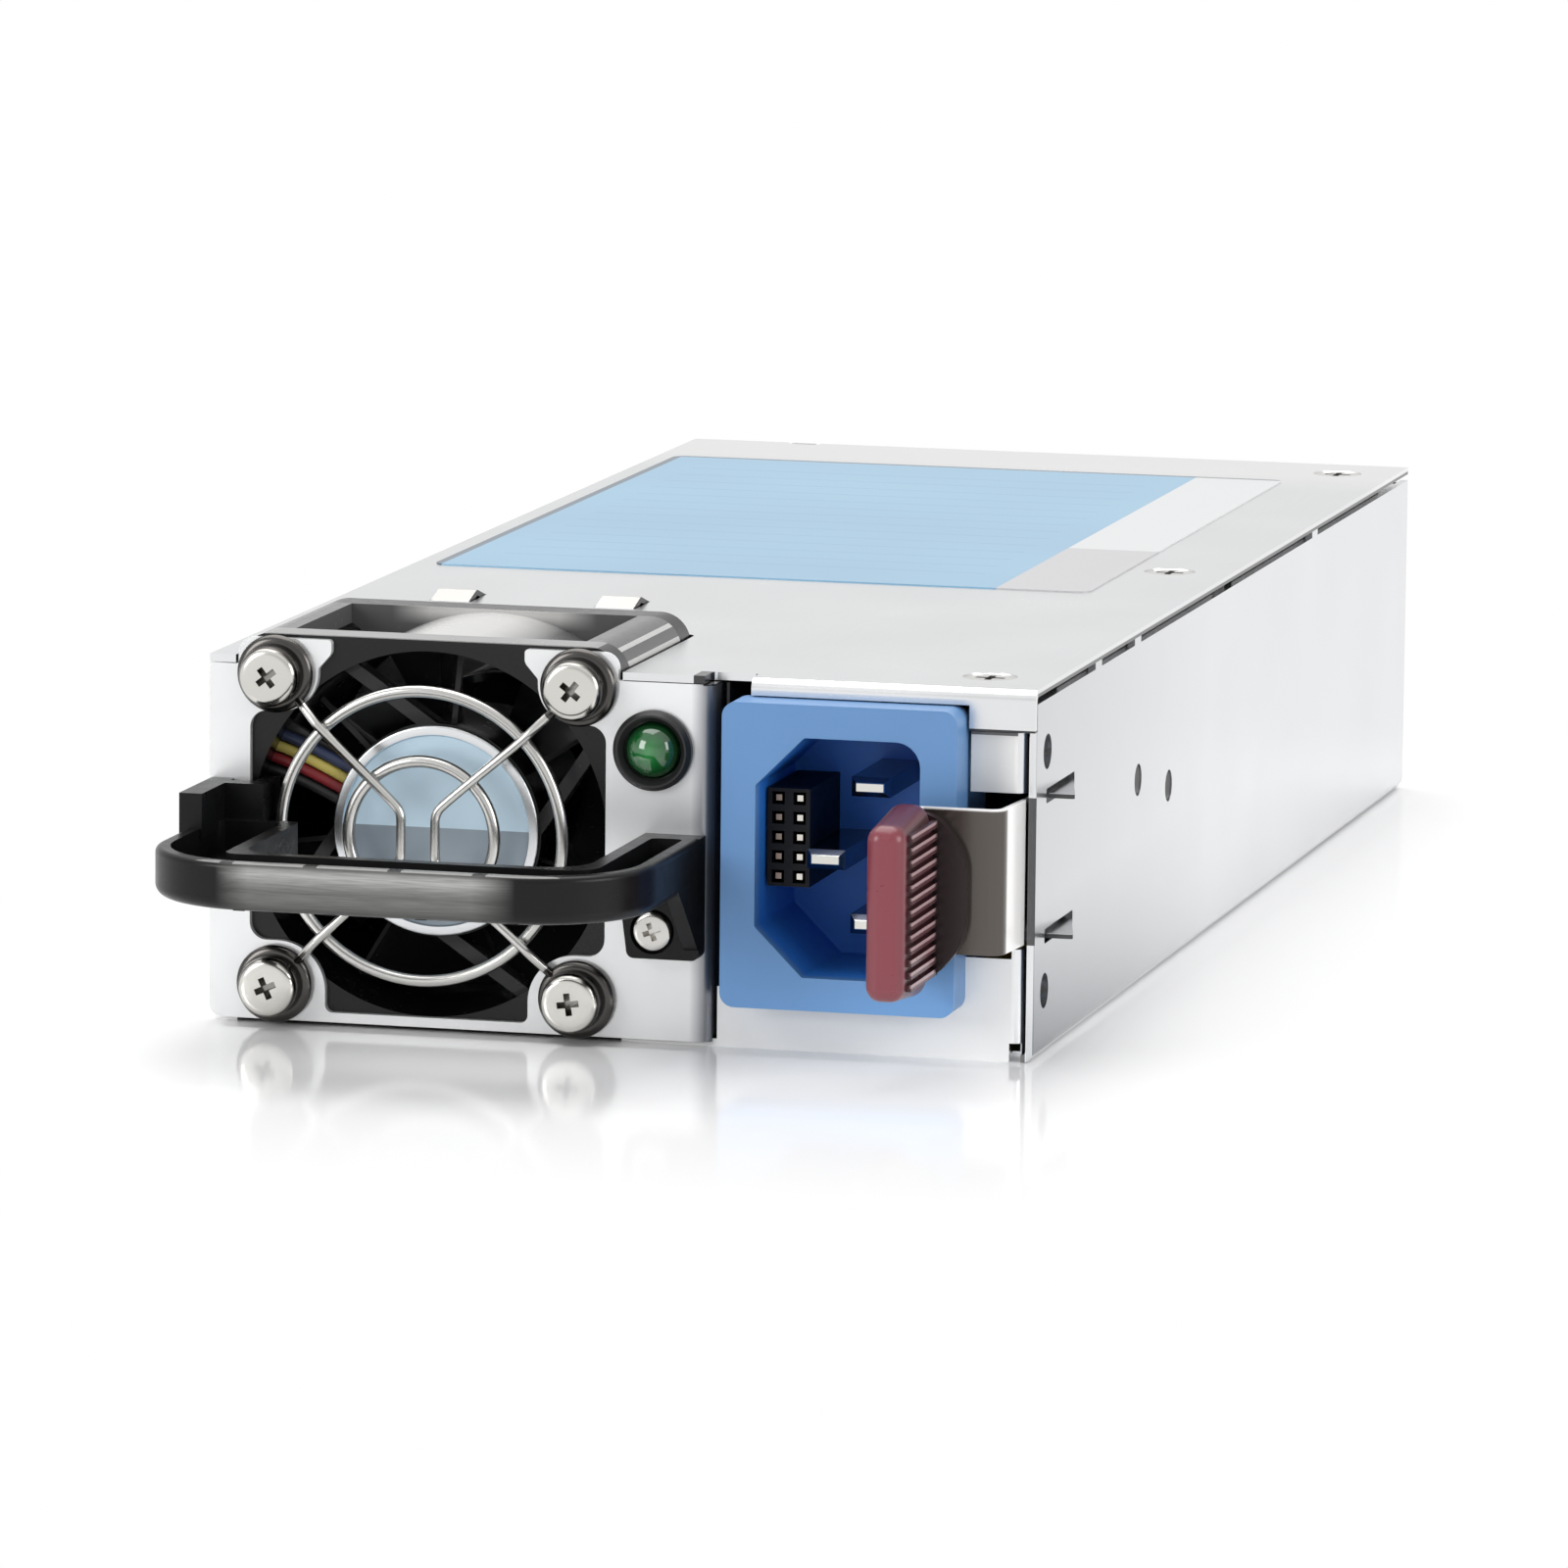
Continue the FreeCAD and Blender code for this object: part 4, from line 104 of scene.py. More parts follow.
# %% Value and Tree
class Value:
    """A node's output that takes part in Python expressions."""

    def __init__(self, tree, socket):
        self.tree = tree
        self.socket = socket

    def maths(self, operation, first, second=0.0):
        return self.tree.node("ShaderNodeMath", {"operation": operation}, {0: first, 1: second})

    def __add__(self, other):
        return self.maths("ADD", self, other)

    def __radd__(self, other):
        return self.maths("ADD", other, self)

    def __sub__(self, other):
        return self.maths("SUBTRACT", self, other)

    def __rsub__(self, other):
        return self.maths("SUBTRACT", other, self)

    def __mul__(self, other):
        return self.maths("MULTIPLY", self, other)

    def __rmul__(self, other):
        return self.maths("MULTIPLY", other, self)

    def __truediv__(self, other):
        return self.maths("DIVIDE", self, other)

    def __gt__(self, other):
        return self.maths("GREATER_THAN", self, other)

    def __lt__(self, other):
        return self.maths("LESS_THAN", self, other)

    def power(self, exponent):
        return self.maths("POWER", self, exponent)

    def size(self):
        return self.maths("ABSOLUTE", self)

    def fract(self):
        return self.maths("FRACT", self)

    def at_least(self, floor):
        return self.maths("MAXIMUM", self, floor)

    def clamped(self):
        return self.tree.node("ShaderNodeClamp", {}, {"Value": self, "Min": 0.0, "Max": 1.0})


class Tree:
    """A node tree that grows by expressions."""

    def __init__(self, node_tree):
        self.node_tree = node_tree

    def node(self, kind, settings, inputs, output=0):
        made = self.node_tree.nodes.new(kind)
        for label, value in settings.items():
            if label == "stops":
                self.stops(made.color_ramp, value)
            else:
                setattr(made, label, value)
        for label, value in inputs.items():
            self.fill(made.inputs[label], value)
        return Value(self, made.outputs[output])

    def fill(self, socket, value):
        if isinstance(value, Value):
            self.node_tree.links.new(value.socket, socket)
        else:
            socket.default_value = value

    def parts(self, vector):
        """The three parts of a vector."""
        split = self.node("ShaderNodeSeparateXYZ", {}, {0: vector})
        return [Value(self, output) for output in split.socket.node.outputs]

    def stops(self, ramp, stops):
        """Gives the ramp a shade, or a grey level, at each stop."""
        while len(ramp.elements) < len(stops):
            ramp.elements.new(0.5)
        for element, (place, shade) in zip(ramp.elements, stops):
            element.position = place
            element.color = shade if isinstance(shade, tuple) else (shade, shade, shade, 1.0)

    def ramp(self, value, stops):
        return self.node("ShaderNodeValToRGB", {"stops": stops}, {0: value})

    def seen_by(self, *kinds):
        """One for rays of the named kinds, and nothing for the others."""
        path = self.node("ShaderNodeLightPath", {}, {})
        outputs = path.socket.node.outputs
        return sum(Value(self, outputs["Is " + kind + " Ray"]) for kind in kinds).clamped()


print("shader maths ready")

# %% [markdown]
# Masks say where a colour goes. Each takes an Object coordinate, and its places are in millimetres.
# A mask is one inside, nothing outside, and masks are multiplied to meet and added to join.

# %% Masks
def above(value, place):
    return value > place * MM


def below(value, place):
    return value < place * MM


def between(value, low, high):
    return above(value, low) * below(value, high)


def climb(value, low, high):
    """Goes evenly from nothing at the low value to one at the high value."""
    return ((value - low) / (high - low)).clamped()


def rising(value, low, high):
    return climb(value, low * MM, high * MM)


def falling(value, low, high):
    return 1.0 - rising(value, low, high)


def distance(across, along):
    """Length of the flat vector with these two parts."""
    return (across * across + along * along).power(0.5)


print("masks ready")

# %% [markdown]
# A `Finish` is one material. Its `paint` method lays a colour over what is there already, so that a
# finish is built up as on the bench: the base first, then each shade and sheen in turn.

# %% Finish
def tone(red, green, blue):
    """A screen colour of 0 to 255 as the light it stands for."""
    light = []
    for level in (red, green, blue):
        part = level / 255
        light.append(part / 12.92 if part <= 0.04045 else ((part + 0.055) / 1.055) ** 2.4)
    return (*light, 1.0)


def dimmed(color, share, lift=0.0):
    """The colour times a share, a little lifted, and no brighter than white."""
    return tuple(min(1.0, c * share + lift) for c in color[:3]) + (1.0,)


class Finish(Tree):
    """One material, built from nodes."""

    def __init__(self, name, color, roughness, metallic=0.0, **constants):
        self.material = bpy.data.materials.new(name)
        self.material.use_nodes = True
        super().__init__(self.material.node_tree)
        self.shader = self.node_tree.nodes["Principled BSDF"]
        self.shade = color
        self.feed("Base Color", color)
        self.feed("Roughness", roughness)
        self.feed("Metallic", metallic)
        for label, value in constants.items():
            self.feed(label.replace("_", " "), value)
        self.places = self.node("ShaderNodeTexCoord", {}, {}, "Object")

    def feed(self, label, value):
        self.fill(self.shader.inputs[label], value)

    def mix(self, share, first, second):
        return self.node("ShaderNodeMix", {"data_type": "RGBA"}, {0: share, 6: first, 7: second}, 2)

    def paint(self, mask, color):
        """Lays the colour over the finish as far as the mask says."""
        self.shade = self.mix(mask, self.shade, color)
        self.feed("Base Color", self.shade)

    def mapped(self, scale=(1, 1, 1), centre=(0, 0, 0)):
        """Object coordinates measured from a centre in millimetres, then stretched."""
        origin = [c * MM for c in centre]
        moved = self.node("ShaderNodeVectorMath", {"operation": "SUBTRACT"}, {0: self.places, 1: origin})
        return self.node("ShaderNodeVectorMath", {"operation": "MULTIPLY"}, {0: moved, 1: scale})

    def axes(self, centre=(0, 0, 0)):
        return self.parts(self.mapped(centre=centre))

    def noise(self, scale, detail=2.0, stretch=(1, 1, 1)):
        inputs = {"Vector": self.mapped(stretch), "Scale": scale, "Detail": detail}
        return self.node("ShaderNodeTexNoise", {}, inputs)

    def cells(self, scale):
        """Distance to the nearest of many scattered points."""
        return self.node("ShaderNodeTexVoronoi", {}, {"Vector": self.places, "Scale": scale}, "Distance")

    def relief(self, height, depth, strength):
        """A bump of that depth in metres."""
        bump = self.node("ShaderNodeBump", {}, {"Strength": strength, "Distance": depth, "Height": height})
        self.feed("Normal", bump)


print("finishes ready")

# %% [markdown]
# ## Light, floor and background
#
# Product photographs of bright metal are made in a white room: large soft lamps, and white walls
# that the metal mirrors. The world is white where the camera, a mirror or glass looks at it, and
# plainer as a source of light, so that colours render about as they are written. A darker band a
# little above the horizon gives the metal something to mirror.

# %% World
ROOM_LEVELS = [(0.0, 1.0), (0.5, 1.0), (0.56, 0.93), (0.68, 0.62), (0.8, 0.86), (1.0, 1.0)]
ROOM_LIGHT = 0.55
world = bpy.data.worlds.new("white_room")
bpy.context.scene.world = world
world.use_nodes = True
world.node_tree.nodes.remove(world.node_tree.nodes["Background"])
room = Tree(world.node_tree)
direction = room.node("ShaderNodeTexCoord", {}, {}, "Generated")
height = room.parts(direction)[2] * 0.5 + 0.5
walls = room.node("ShaderNodeBackground", {}, {"Color": room.ramp(height, ROOM_LEVELS)})
glow = room.node("ShaderNodeBackground", {}, {"Color": (1, 1, 1, 1), "Strength": ROOM_LIGHT})
looked_at = room.seen_by("Glossy", "Transmission", "Camera")
surround = room.node("ShaderNodeMixShader", {}, {0: looked_at, 1: glow, 2: walls})
room.fill(world.node_tree.nodes["World Output"].inputs["Surface"], surround)
print("world nodes:", len(world.node_tree.nodes))

# %% Lamps
def soft_lamp(name, place, aim, width, height, watts):
    lamp = bpy.data.lights.new(name, "AREA")
    lamp.shape = "RECTANGLE"
    lamp.size = width
    lamp.size_y = height
    lamp.energy = watts
    holder = bpy.data.objects.new(name, lamp)
    bpy.context.collection.objects.link(holder)
    holder.location = place
    holder.rotation_euler = (Vector(aim) - Vector(place)).to_track_quat("-Z", "Y").to_euler()
    print(name, watts, "W")


soft_lamp("lamp_overhead", (-0.15, 0.10, 0.85), (0, 0, 0), 0.9, 0.9, 7.0)
soft_lamp("lamp_front_left", (-0.75, -0.95, 0.45), (0, -0.05, 0.02), 0.5, 0.6, 6.0)
soft_lamp("lamp_right", (0.95, -0.35, 0.35), (0.04, 0, 0.02), 0.6, 0.5, 4.5)

# %% [markdown]
# ### The floor
#
# The part stands on a white polished table. Near the part the floor is a real surface, so that
# it takes the shadow and a faint mirror image. Further out it turns into plain white for the camera,
# which gives the clean background of a catalogue. The distance is measured from the part's outline,
# so the change follows the part on every side.

# %% Floor
TABLE_WIDTH = 8
PART_MIDDLE = (0.0, -12.0, 0.0)
PART_HALF_WIDTH = 43.0
PART_HALF_DEPTH = 116.0
FADE_START = 4.0
FADE_LENGTH = 40.0
bpy.ops.object.select_all(action="DESELECT")
bpy.ops.mesh.primitive_plane_add(size=TABLE_WIDTH, location=(0, 0, 0))
floor = bpy.context.object
floor.name = "studio_floor"
table = Finish("white_table", (0.93, 0.93, 0.93, 1), 0.1, Specular_IOR_Level=0.35)
x, y, z = table.axes(PART_MIDDLE)
outside_x = (x.size() - PART_HALF_WIDTH * MM).at_least(0.0)
outside_y = (y.size() - PART_HALF_DEPTH * MM).at_least(0.0)
fade = rising(distance(outside_x, outside_y), FADE_START, FADE_START + FADE_LENGTH)
shows = table.seen_by("Camera", "Glossy", "Transmission")
paper = table.node("ShaderNodeEmission", {}, {"Color": (1, 1, 1, 1), "Strength": 1.0})
polished = Value(table, table.shader.outputs[0])
surface = table.node("ShaderNodeMixShader", {}, {0: fade * shows, 1: polished, 2: paper})
table.fill(table.node_tree.nodes["Material Output"].inputs["Surface"], surface)
floor.data.materials.append(table.material)
print("floor", floor.dimensions.x, "m wide")

# %% [markdown]
# ## Metal finishes
#
# The case is zinc-plated sheet steel. Zinc is bright but never a clean mirror: the rolling leaves a
# fine grain along the sheet, and the plating leaves soft cloudy patches. Both are far too small for
# geometry, so they go into the roughness and a very shallow bump. The grain is noise stretched along
# one axis, and the clouds are a slow noise with little contrast.

# %% Metals
GRAIN_SCALE, GRAIN_DETAIL = 120.0, 3.0
CLOUD_SCALE = 55.0
ALONG_Y = (40, 2, 40)
ALONG_Z = (40, 40, 2)


def metal(name, color, roughness, grain=ALONG_Y, clouds=0.08, depth=0.000012):
    finish = Finish(name, color, roughness, 1.0)
    streaks = finish.noise(GRAIN_SCALE, GRAIN_DETAIL, grain)
    patches = finish.noise(CLOUD_SCALE)
    finish.shade = finish.ramp(patches, [(0.3, dimmed(color, 1 - clouds)), (0.7, color)])
    finish.feed("Base Color", finish.shade)
    finish.feed("Roughness", roughness + (streaks - 0.5) * 0.06 + (patches - 0.5) * 0.08)
    finish.relief(streaks, depth, 0.2)
    return finish


# One plating in four finishes: the side's darker zinc is painted shade, and the fan plate's lighter zinc is
# painted light.
zinc = metal("zinc_sheet", tone(240, 241, 242), 0.25, ALONG_Y, 0.05)
side_zinc = metal("zinc_side", tone(231, 232, 234), 0.24, ALONG_Z, 0.05)
cover_zinc = metal("zinc_cover", tone(232, 233, 234), 0.25, ALONG_Y, 0.06)
plate_zinc = metal("zinc_fan_plate", tone(242, 243, 244), 0.25, ALONG_Y, 0.05)
spring = metal("spring_steel", tone(205, 206, 208), 0.2, (60, 60, 2))
screw_plate = metal("screw_plating", tone(214, 212, 208), 0.2, (20, 20, 20), 0.12, 0.000006)
wire_plate = metal("guard_wire_plating", tone(206, 205, 202), 0.24, (10, 10, 10))
rivet_metal = metal("rivet_steel", tone(70, 70, 72), 0.45, (20, 20, 20))
shaft_metal = metal("ground_shaft", tone(200, 200, 202), 0.2, (2, 60, 2))
aluminium = metal("heatsink_aluminium", tone(205, 207, 210), 0.38, (2, 40, 2))
copper = metal("copper_strap", tone(196, 120, 84), 0.32, (2, 30, 30), 0.2)
bronze = metal("sintered_bronze", tone(150, 118, 72), 0.5, (20, 20, 20), 0.25)
lamination = metal("core_plates", tone(120, 122, 126), 0.4, (4, 200, 4), 0.2)
silver = metal("silver_contact", tone(222, 220, 214), 0.18, (10, 4, 10), 0.1)
gold = metal("gold_contact", tone(222, 182, 96), 0.22, (4, 20, 4), 0.12)
signal_metal = metal("signal_contact", tone(224, 220, 212), 0.2, (4, 20, 4), 0.12)
print("materials so far:", len(bpy.data.materials))

# %% [markdown]
# Some parts of the sheet metal get painted shade, because the open white room would fill the real
# shade there: the seam under the cover, the black film's corner at the cover's notch, the narrow gaps
# round the front panel and the wall's edge behind the spring. The bend at the fan plate's right edge
# gets a painted dark reflection. The louvres are painted a little yellower, and their open ends get
# painted shade. Towards its rear the cover is painted lighter, a painted reflection of the room.

# %% Shades on the cover
FRONT = -97.3
RIGHT = 43.2
COVER_UNDER = 37.2
COVER_TOP = 38.0
SEAM_TOP = 37.6
LIP_BOTTOM = 33.7
PLATE_RIGHT = 9.9
LOUVRES = (-31.0, -13.0)
LOUVRE_HALF_WIDTH = 2.3
x, y, z = cover_zinc.axes()
# The louvre ridges are painted a little yellower, and their open ends get painted shade.
for louvre_x in LOUVRES:
    ridge = below((x - louvre_x * MM).size(), LOUVRE_HALF_WIDTH) * above(z, COVER_TOP + 0.03)
    cover_zinc.paint(ridge * 0.5, tone(214, 208, 196))
    cover_zinc.paint(ridge * above(x, louvre_x + LOUVRE_HALF_WIDTH - 0.25), tone(30, 30, 30))
# Painted reflection: the cover is painted lighter towards its rear.
cover_zinc.paint(rising(y, 72.0, 84.0) * 0.6, tone(250, 249, 248))
under = falling(z, COVER_UNDER - 0.1, COVER_UNDER) * above(y, FRONT + 2.0)
seam = falling(z, SEAM_TOP - 0.1, SEAM_TOP) * above(x, RIGHT - 0.3) * above(y, FRONT + 1.0)
lip_edge = between(z, LIP_BOTTOM - 0.1, LIP_BOTTOM + 0.22) * below(y, FRONT + 0.9)
film_corner = between(x, PLATE_RIGHT - 2.1, PLATE_RIGHT - 0.7) * below(y, FRONT + 3.3)
cover_zinc.paint((under + seam + lip_edge + film_corner).clamped() * 0.93, tone(40, 40, 42))
print("shaded on the cover: louvres, underside, seam, lip and the film's corner")

# %% [markdown]
# The right wall gets painted shade, darker towards the table and the front, and the small front panel
# is painted brighter below than above, as painted light. The panel's white is a diffuse one, because
# it would otherwise mirror the floor.

# %% Shades on the tray and the fan plate
PANEL_RIGHT = 42.25
x, y, z = side_zinc.axes()
on_wall = above(x, RIGHT - 0.1)
# Painted shade: the right wall darker towards the table and the front.
low = falling(z, 0.0, 16.0) * falling(y, FRONT, FRONT + 90.0)
near = falling(y, FRONT, FRONT + 85.0)
side_zinc.paint((low * 0.75 + near * 0.36).clamped() * on_wall, tone(140, 143, 148))
on_panel = below(y, FRONT + 1.05) * below(x, PANEL_RIGHT + 0.2)
# Painted light: the front panel brighter below than above.
panel_white = side_zinc.mix(rising(z, 26.0, 27.0), tone(254, 254, 253), tone(240, 239, 236))
side_zinc.paint(on_panel, panel_white)
side_zinc.feed("Metallic", 1.0 - on_panel * 0.95)
wall_edge = above(x, RIGHT - 0.85) * below(y, FRONT + 1.04) * between(z, 12.0, 27.0)
right_gap = between(x, PANEL_RIGHT - 0.45, PANEL_RIGHT + 0.1) * below(y, FRONT + 4.0)
gaps = right_gap + on_panel * between(z, LIP_BOTTOM - 0.5, LIP_BOTTOM)
side_zinc.paint((wall_edge * 0.9 + gaps * 0.85).clamped(), tone(56, 56, 58))

x, y, z = plate_zinc.axes()
bend = rising(x, PLATE_RIGHT - 2.3, PLATE_RIGHT - 0.4)
return_top = above(z, COVER_UNDER - 0.25) * above(x, PLATE_RIGHT - 1.1)
plate_zinc.paint(bend * 0.92, tone(62, 66, 74))
plate_zinc.paint(return_top, tone(20, 20, 22))
plate_zinc.feed("Metallic", 0.5 - return_top * 0.5)
print("shaded on the tray and plate: wall, panel, gaps, bend and return")

# %% [markdown]
# The spring's side gets a painted highlight, and its nose a painted reflection of the dark grip. The
# two teeth that it pushes through the wall's slots get painted shade on their sides and keep bright
# tops, and the spring's upper edge gets a painted highlight line.

# %% Shades on the spring
NOSE_END = FRONT - 4.4
SIDE_END = FRONT + 1.2
TOOTH_TOPS = (12.5, 26.8)
x, y, z = spring.axes()
nose = falling(y, NOSE_END - 0.6, NOSE_END)
side = (1.0 - nose) * below(y, SIDE_END)
edge = rising(z, 26.5, 26.7) * below(y, SIDE_END)
tooth_tops = between(z, TOOTH_TOPS[0] - 0.05, TOOTH_TOPS[0] + 0.05) + above(z, TOOTH_TOPS[1] - 0.05)
teeth = above(x, RIGHT + 0.1) * (1.0 - tooth_tops)
# Painted highlights on the side and the edge, a painted reflection on the nose, painted shade on the teeth.
spring.paint(side, tone(246, 245, 244))
spring.paint(nose, tone(98, 93, 89))
spring.paint(teeth * 0.9, tone(44, 44, 44))
spring.paint(edge, tone(250, 250, 250))
spring.feed("Metallic", 1.0 - (side + edge).clamped() * 0.75)
print("spring shaded from", round(NOSE_END, 1), "mm forward")

# %% [markdown]
# ## Moulded plastics
#
# Mould cavities are spark-eroded, and the part copies that as a fine pebble texture that breaks up
# the shine. A plastic also has slow changes of gloss where it flowed and cooled. The pebble is a small
# noise in the bump, and the slow noise moves the roughness and, very slightly, the colour.

# %% Plastics
FLOW_SCALE = 35.0


def plastic(name, color, roughness, pebble=900.0, depth=0.00002, **constants):
    finish = Finish(name, color, roughness, 0.0, **constants)
    fine = finish.noise(pebble)
    slow = finish.noise(FLOW_SCALE)
    finish.shade = finish.ramp(slow, [(0.3, dimmed(color, 0.88)), (0.7, dimmed(color, 1.14, 0.002))])
    finish.feed("Base Color", finish.shade)
    finish.feed("Roughness", roughness + (fine - 0.5) * 0.12 + (slow - 0.5) * 0.1)
    finish.relief(fine, depth, 0.35)
    return finish


fan_black = plastic("fan_plastic", tone(11, 11, 12), 0.25, 900.0, 0.00001, Specular_IOR_Level=0.35)
handle_black = plastic("handle_plastic", tone(17, 17, 18), 0.3, 700.0, 0.00002, Specular_IOR_Level=0.2)
nylon_black = plastic("black_nylon", tone(20, 20, 21), 0.45)
film_black = plastic("insulator_film", tone(16, 16, 17), 0.3, 400.0)
inlet_blue = plastic("blue_nylon", tone(92, 134, 182), 0.42)
maroon = plastic("maroon_plastic", tone(84, 32, 42), 0.3)
epoxy = plastic("moulded_epoxy", tone(30, 30, 32), 0.6)
film_yellow = plastic("film_case", tone(206, 168, 60), 0.4)
relay_blue = plastic("relay_case", tone(58, 74, 112), 0.4)
nylon_white = plastic("white_nylon", tone(226, 222, 210), 0.45)
sleeve = plastic("can_sleeve", tone(26, 30, 44), 0.25, 300.0)
tape = plastic("winding_tape", tone(214, 172, 44), 0.28, 260.0)
ferrite = plastic("ferrite", tone(54, 54, 58), 0.7, 1500.0, 0.00004)
magnet = plastic("magnet_ring", tone(60, 58, 58), 0.6, 1500.0, 0.00004)
laminate = plastic("board_laminate", tone(28, 96, 56), 0.3, 600.0, 0.00001, Coat_Weight=0.4)
glass = plastic("fuse_glass", tone(212, 220, 220), 0.1, 200.0, 0.000004, Alpha=0.5)
signal_black = plastic("signal_block", tone(8, 10, 16), 0.5, Specular_IOR_Level=0.2)
print("materials so far:", len(bpy.data.materials))

# %% [markdown]
# Glossy black plastic shows the room more than itself. The handle's front gets a painted reflection
# of a soft lamp, bright near the top and streaked along the bar, and its upper rim gets a painted
# highlight, a light line that the rib ends break.

# %% Sheen on the handle
HANDLE_FRONT = FRONT - 31.4
HANDLE_BOTTOM, HANDLE_TOP = 16.8, 21.7
BAR_LEVELS = [
    (0.0, 60), (0.12, 100), (0.35, 122), (0.45, 112),
    (0.6, 140), (0.8, 186), (0.9, 160), (0.96, 90),
]
NOTCH_PITCH = 8.7
NOTCH_PLACE = -14.5
NOTCH_SHARE = 0.08
x, y, z = handle_black.axes()
up_bar = (z - HANDLE_BOTTOM * MM) / ((HANDLE_TOP - HANDLE_BOTTOM) * MM)
bar_shade = handle_black.ramp(up_bar, [(place, tone(v, v, v - 2)) for place, v in BAR_LEVELS])
streaks = climb(handle_black.noise(90.0, 3.0, (3, 60, 60)), 0.35, 0.7)
streaked = handle_black.mix(streaks * 0.35, bar_shade, tone(60, 60, 60))
on_front = falling(y, HANDLE_FRONT, HANDLE_FRONT + 2.2) * rising(x, -33.0, -29.5) * falling(x, -6.5, -2.0)
rim = above(z, HANDLE_TOP - 0.12) * between(y, HANDLE_FRONT + 0.2, HANDLE_FRONT + 1.4)
ribs_along = (x - NOTCH_PLACE * MM) / (NOTCH_PITCH * MM)
notch = ((ribs_along + 0.5).fract() - 0.5).size() < NOTCH_SHARE
handle_black.paint(on_front * 0.85, streaked)
# Painted highlight along the rim, broken by the dark rib ends.
handle_black.paint(rim * 0.7, tone(150, 150, 148))
handle_black.paint(rim * notch, tone(8, 8, 8))
print("handle sheen from", HANDLE_BOTTOM, "to", HANDLE_TOP, "mm up")

# %% [markdown]
# The fan's roof and crest, its front ledge and its rounded corner get a painted reflection of the
# ceiling, in a dark band with light stripes on the corner, and the blades get a painted sheen, a
# little paler than the bore behind them. The blades turn with the rotor, and their mask is a ring
# round the fan's axis, so it stays right at every angle.

# %% Sheen on the fan
FAN_X, FAN_Z = -20.1, 20.3
FAN_SIZE = 40.0
FLANGE_REAR = FRONT + 4.8
REAR_FLANGE = FRONT + 24.9
CORNER_START = 16.6
BLADES_FROM, BLADES_TO = 11.3, 18.4
x, y, z = fan_black.axes((FAN_X, 0.0, 0.0))
between_flanges = between(y, FLANGE_REAR - 0.05, REAR_FLANGE)
crest = rising(z, 38.4, 39.8) * falling(x.size(), 7.0, 11.0)
from_axis = distance(x, z - FAN_Z * MM)
outer = falling(from_axis, BLADES_TO - 0.2, BLADES_TO)
on_blades = rising(from_axis, BLADES_FROM, BLADES_FROM + 1.2) * outer
at_corner = rising(x, CORNER_START, CORNER_START + 0.2) * between_flanges
stripes = between(z, 39.35, 39.7) + between(z, 37.9, 38.4) + between(z, 36.2, 36.4)
ledge = above(z, FAN_Z + FAN_SIZE / 2 - 0.1) * below(y, FLANGE_REAR + 0.05)
fan_black.paint(rising(z, 28.0, 34.0) * between_flanges * 0.8, tone(100, 100, 101))
fan_black.paint(crest * between_flanges * 0.9, tone(196, 195, 193))
fan_black.paint(on_blades * 0.8, tone(50, 50, 52))
# Painted reflection on the rounded corner: a dark band with light stripes.
fan_black.paint(at_corner * between(z, 36.4, 39.35) * 0.7, tone(60, 60, 60))
fan_black.paint(at_corner * stripes * 0.8, tone(196, 195, 193))
fan_black.paint(ledge * 0.8, tone(150, 150, 149))
print("sheen on the fan's roof, crest, blades, corner and ledge")

# %% [markdown]
# The grip is maroon, with a painted highlight along the edge that the thumb meets. Its ribs get
# painted shade in the valleys and painted highlights on the crests, and its foot against the spring
# gets painted shade.

# %% Sheen on the grip
GRIP_FRONT = FRONT - 20.8
GRIP_SIDE = 34.7
RIB_PLACE = 10.4
RIB_PITCH = 1.25
CREST_SHARE = 0.26
x, y, z = maroon.axes()
thumb_edge = falling(y, GRIP_FRONT, GRIP_FRONT + 2.4)
valleys = rising(x, GRIP_SIDE - 0.2, GRIP_SIDE) * (1.0 - climb(thumb_edge, 0.1, 0.4))
foot = rising(y, GRIP_FRONT + 11.0, GRIP_FRONT + 13.0)
crests = rising(x, GRIP_SIDE + 0.3, GRIP_SIDE + 0.45) * falling(y, GRIP_FRONT + 11.5, GRIP_FRONT + 12.6)
# Painted highlight lines along the rib crests.
crest_highlight = ((z - RIB_PLACE * MM) / (RIB_PITCH * MM)).fract() < CREST_SHARE
# Painted highlight on the thumb's edge, painted shade in the valleys and on the foot.
maroon.paint(thumb_edge, tone(126, 56, 66))
maroon.paint(valleys * 0.7, tone(44, 26, 30))
maroon.paint(foot * 0.9, tone(24, 15, 17))
maroon.paint(crests * 0.9, tone(84, 52, 56))
maroon.paint(crests * crest_highlight * 0.9, tone(178, 150, 152))
print("grip shaded over", RIB_PITCH, "mm ribs")

# %% [markdown]
# Inside the socket the inlet's blue gets painted shade, deeper and stronger, and the bottom of its
# face gets painted light. The contacts keep bright tips, and further in they get a painted reflection
# of the socket's blue. The left column of signal contacts gets painted shade.

# %% Shades in the inlet
SOCKET_X, SOCKET_Z = 23.95, 20.55
SOCKET_HALF_WIDTH, SOCKET_HALF_HEIGHT = 8.7, 12.4
INLET_FRONT = FRONT - 4.0
POWER_TIP = INLET_FRONT + 3.1
EARTH_TIP = INLET_FRONT + 2.1
EARTH_LOW, EARTH_HIGH = 19.0, 23.0
ROWS_MIDDLE = 17.85
x, y, z = inlet_blue.axes()
in_width = below((x - SOCKET_X * MM).size(), SOCKET_HALF_WIDTH)
in_height = below((z - SOCKET_Z * MM).size(), SOCKET_HALF_HEIGHT)
deep = in_width * in_height * rising(y, INLET_FRONT + 0.4, INLET_FRONT + 2.3)
lit = falling(z, 6.0, 17.0) * falling(y, INLET_FRONT + 0.1, INLET_FRONT + 0.4)
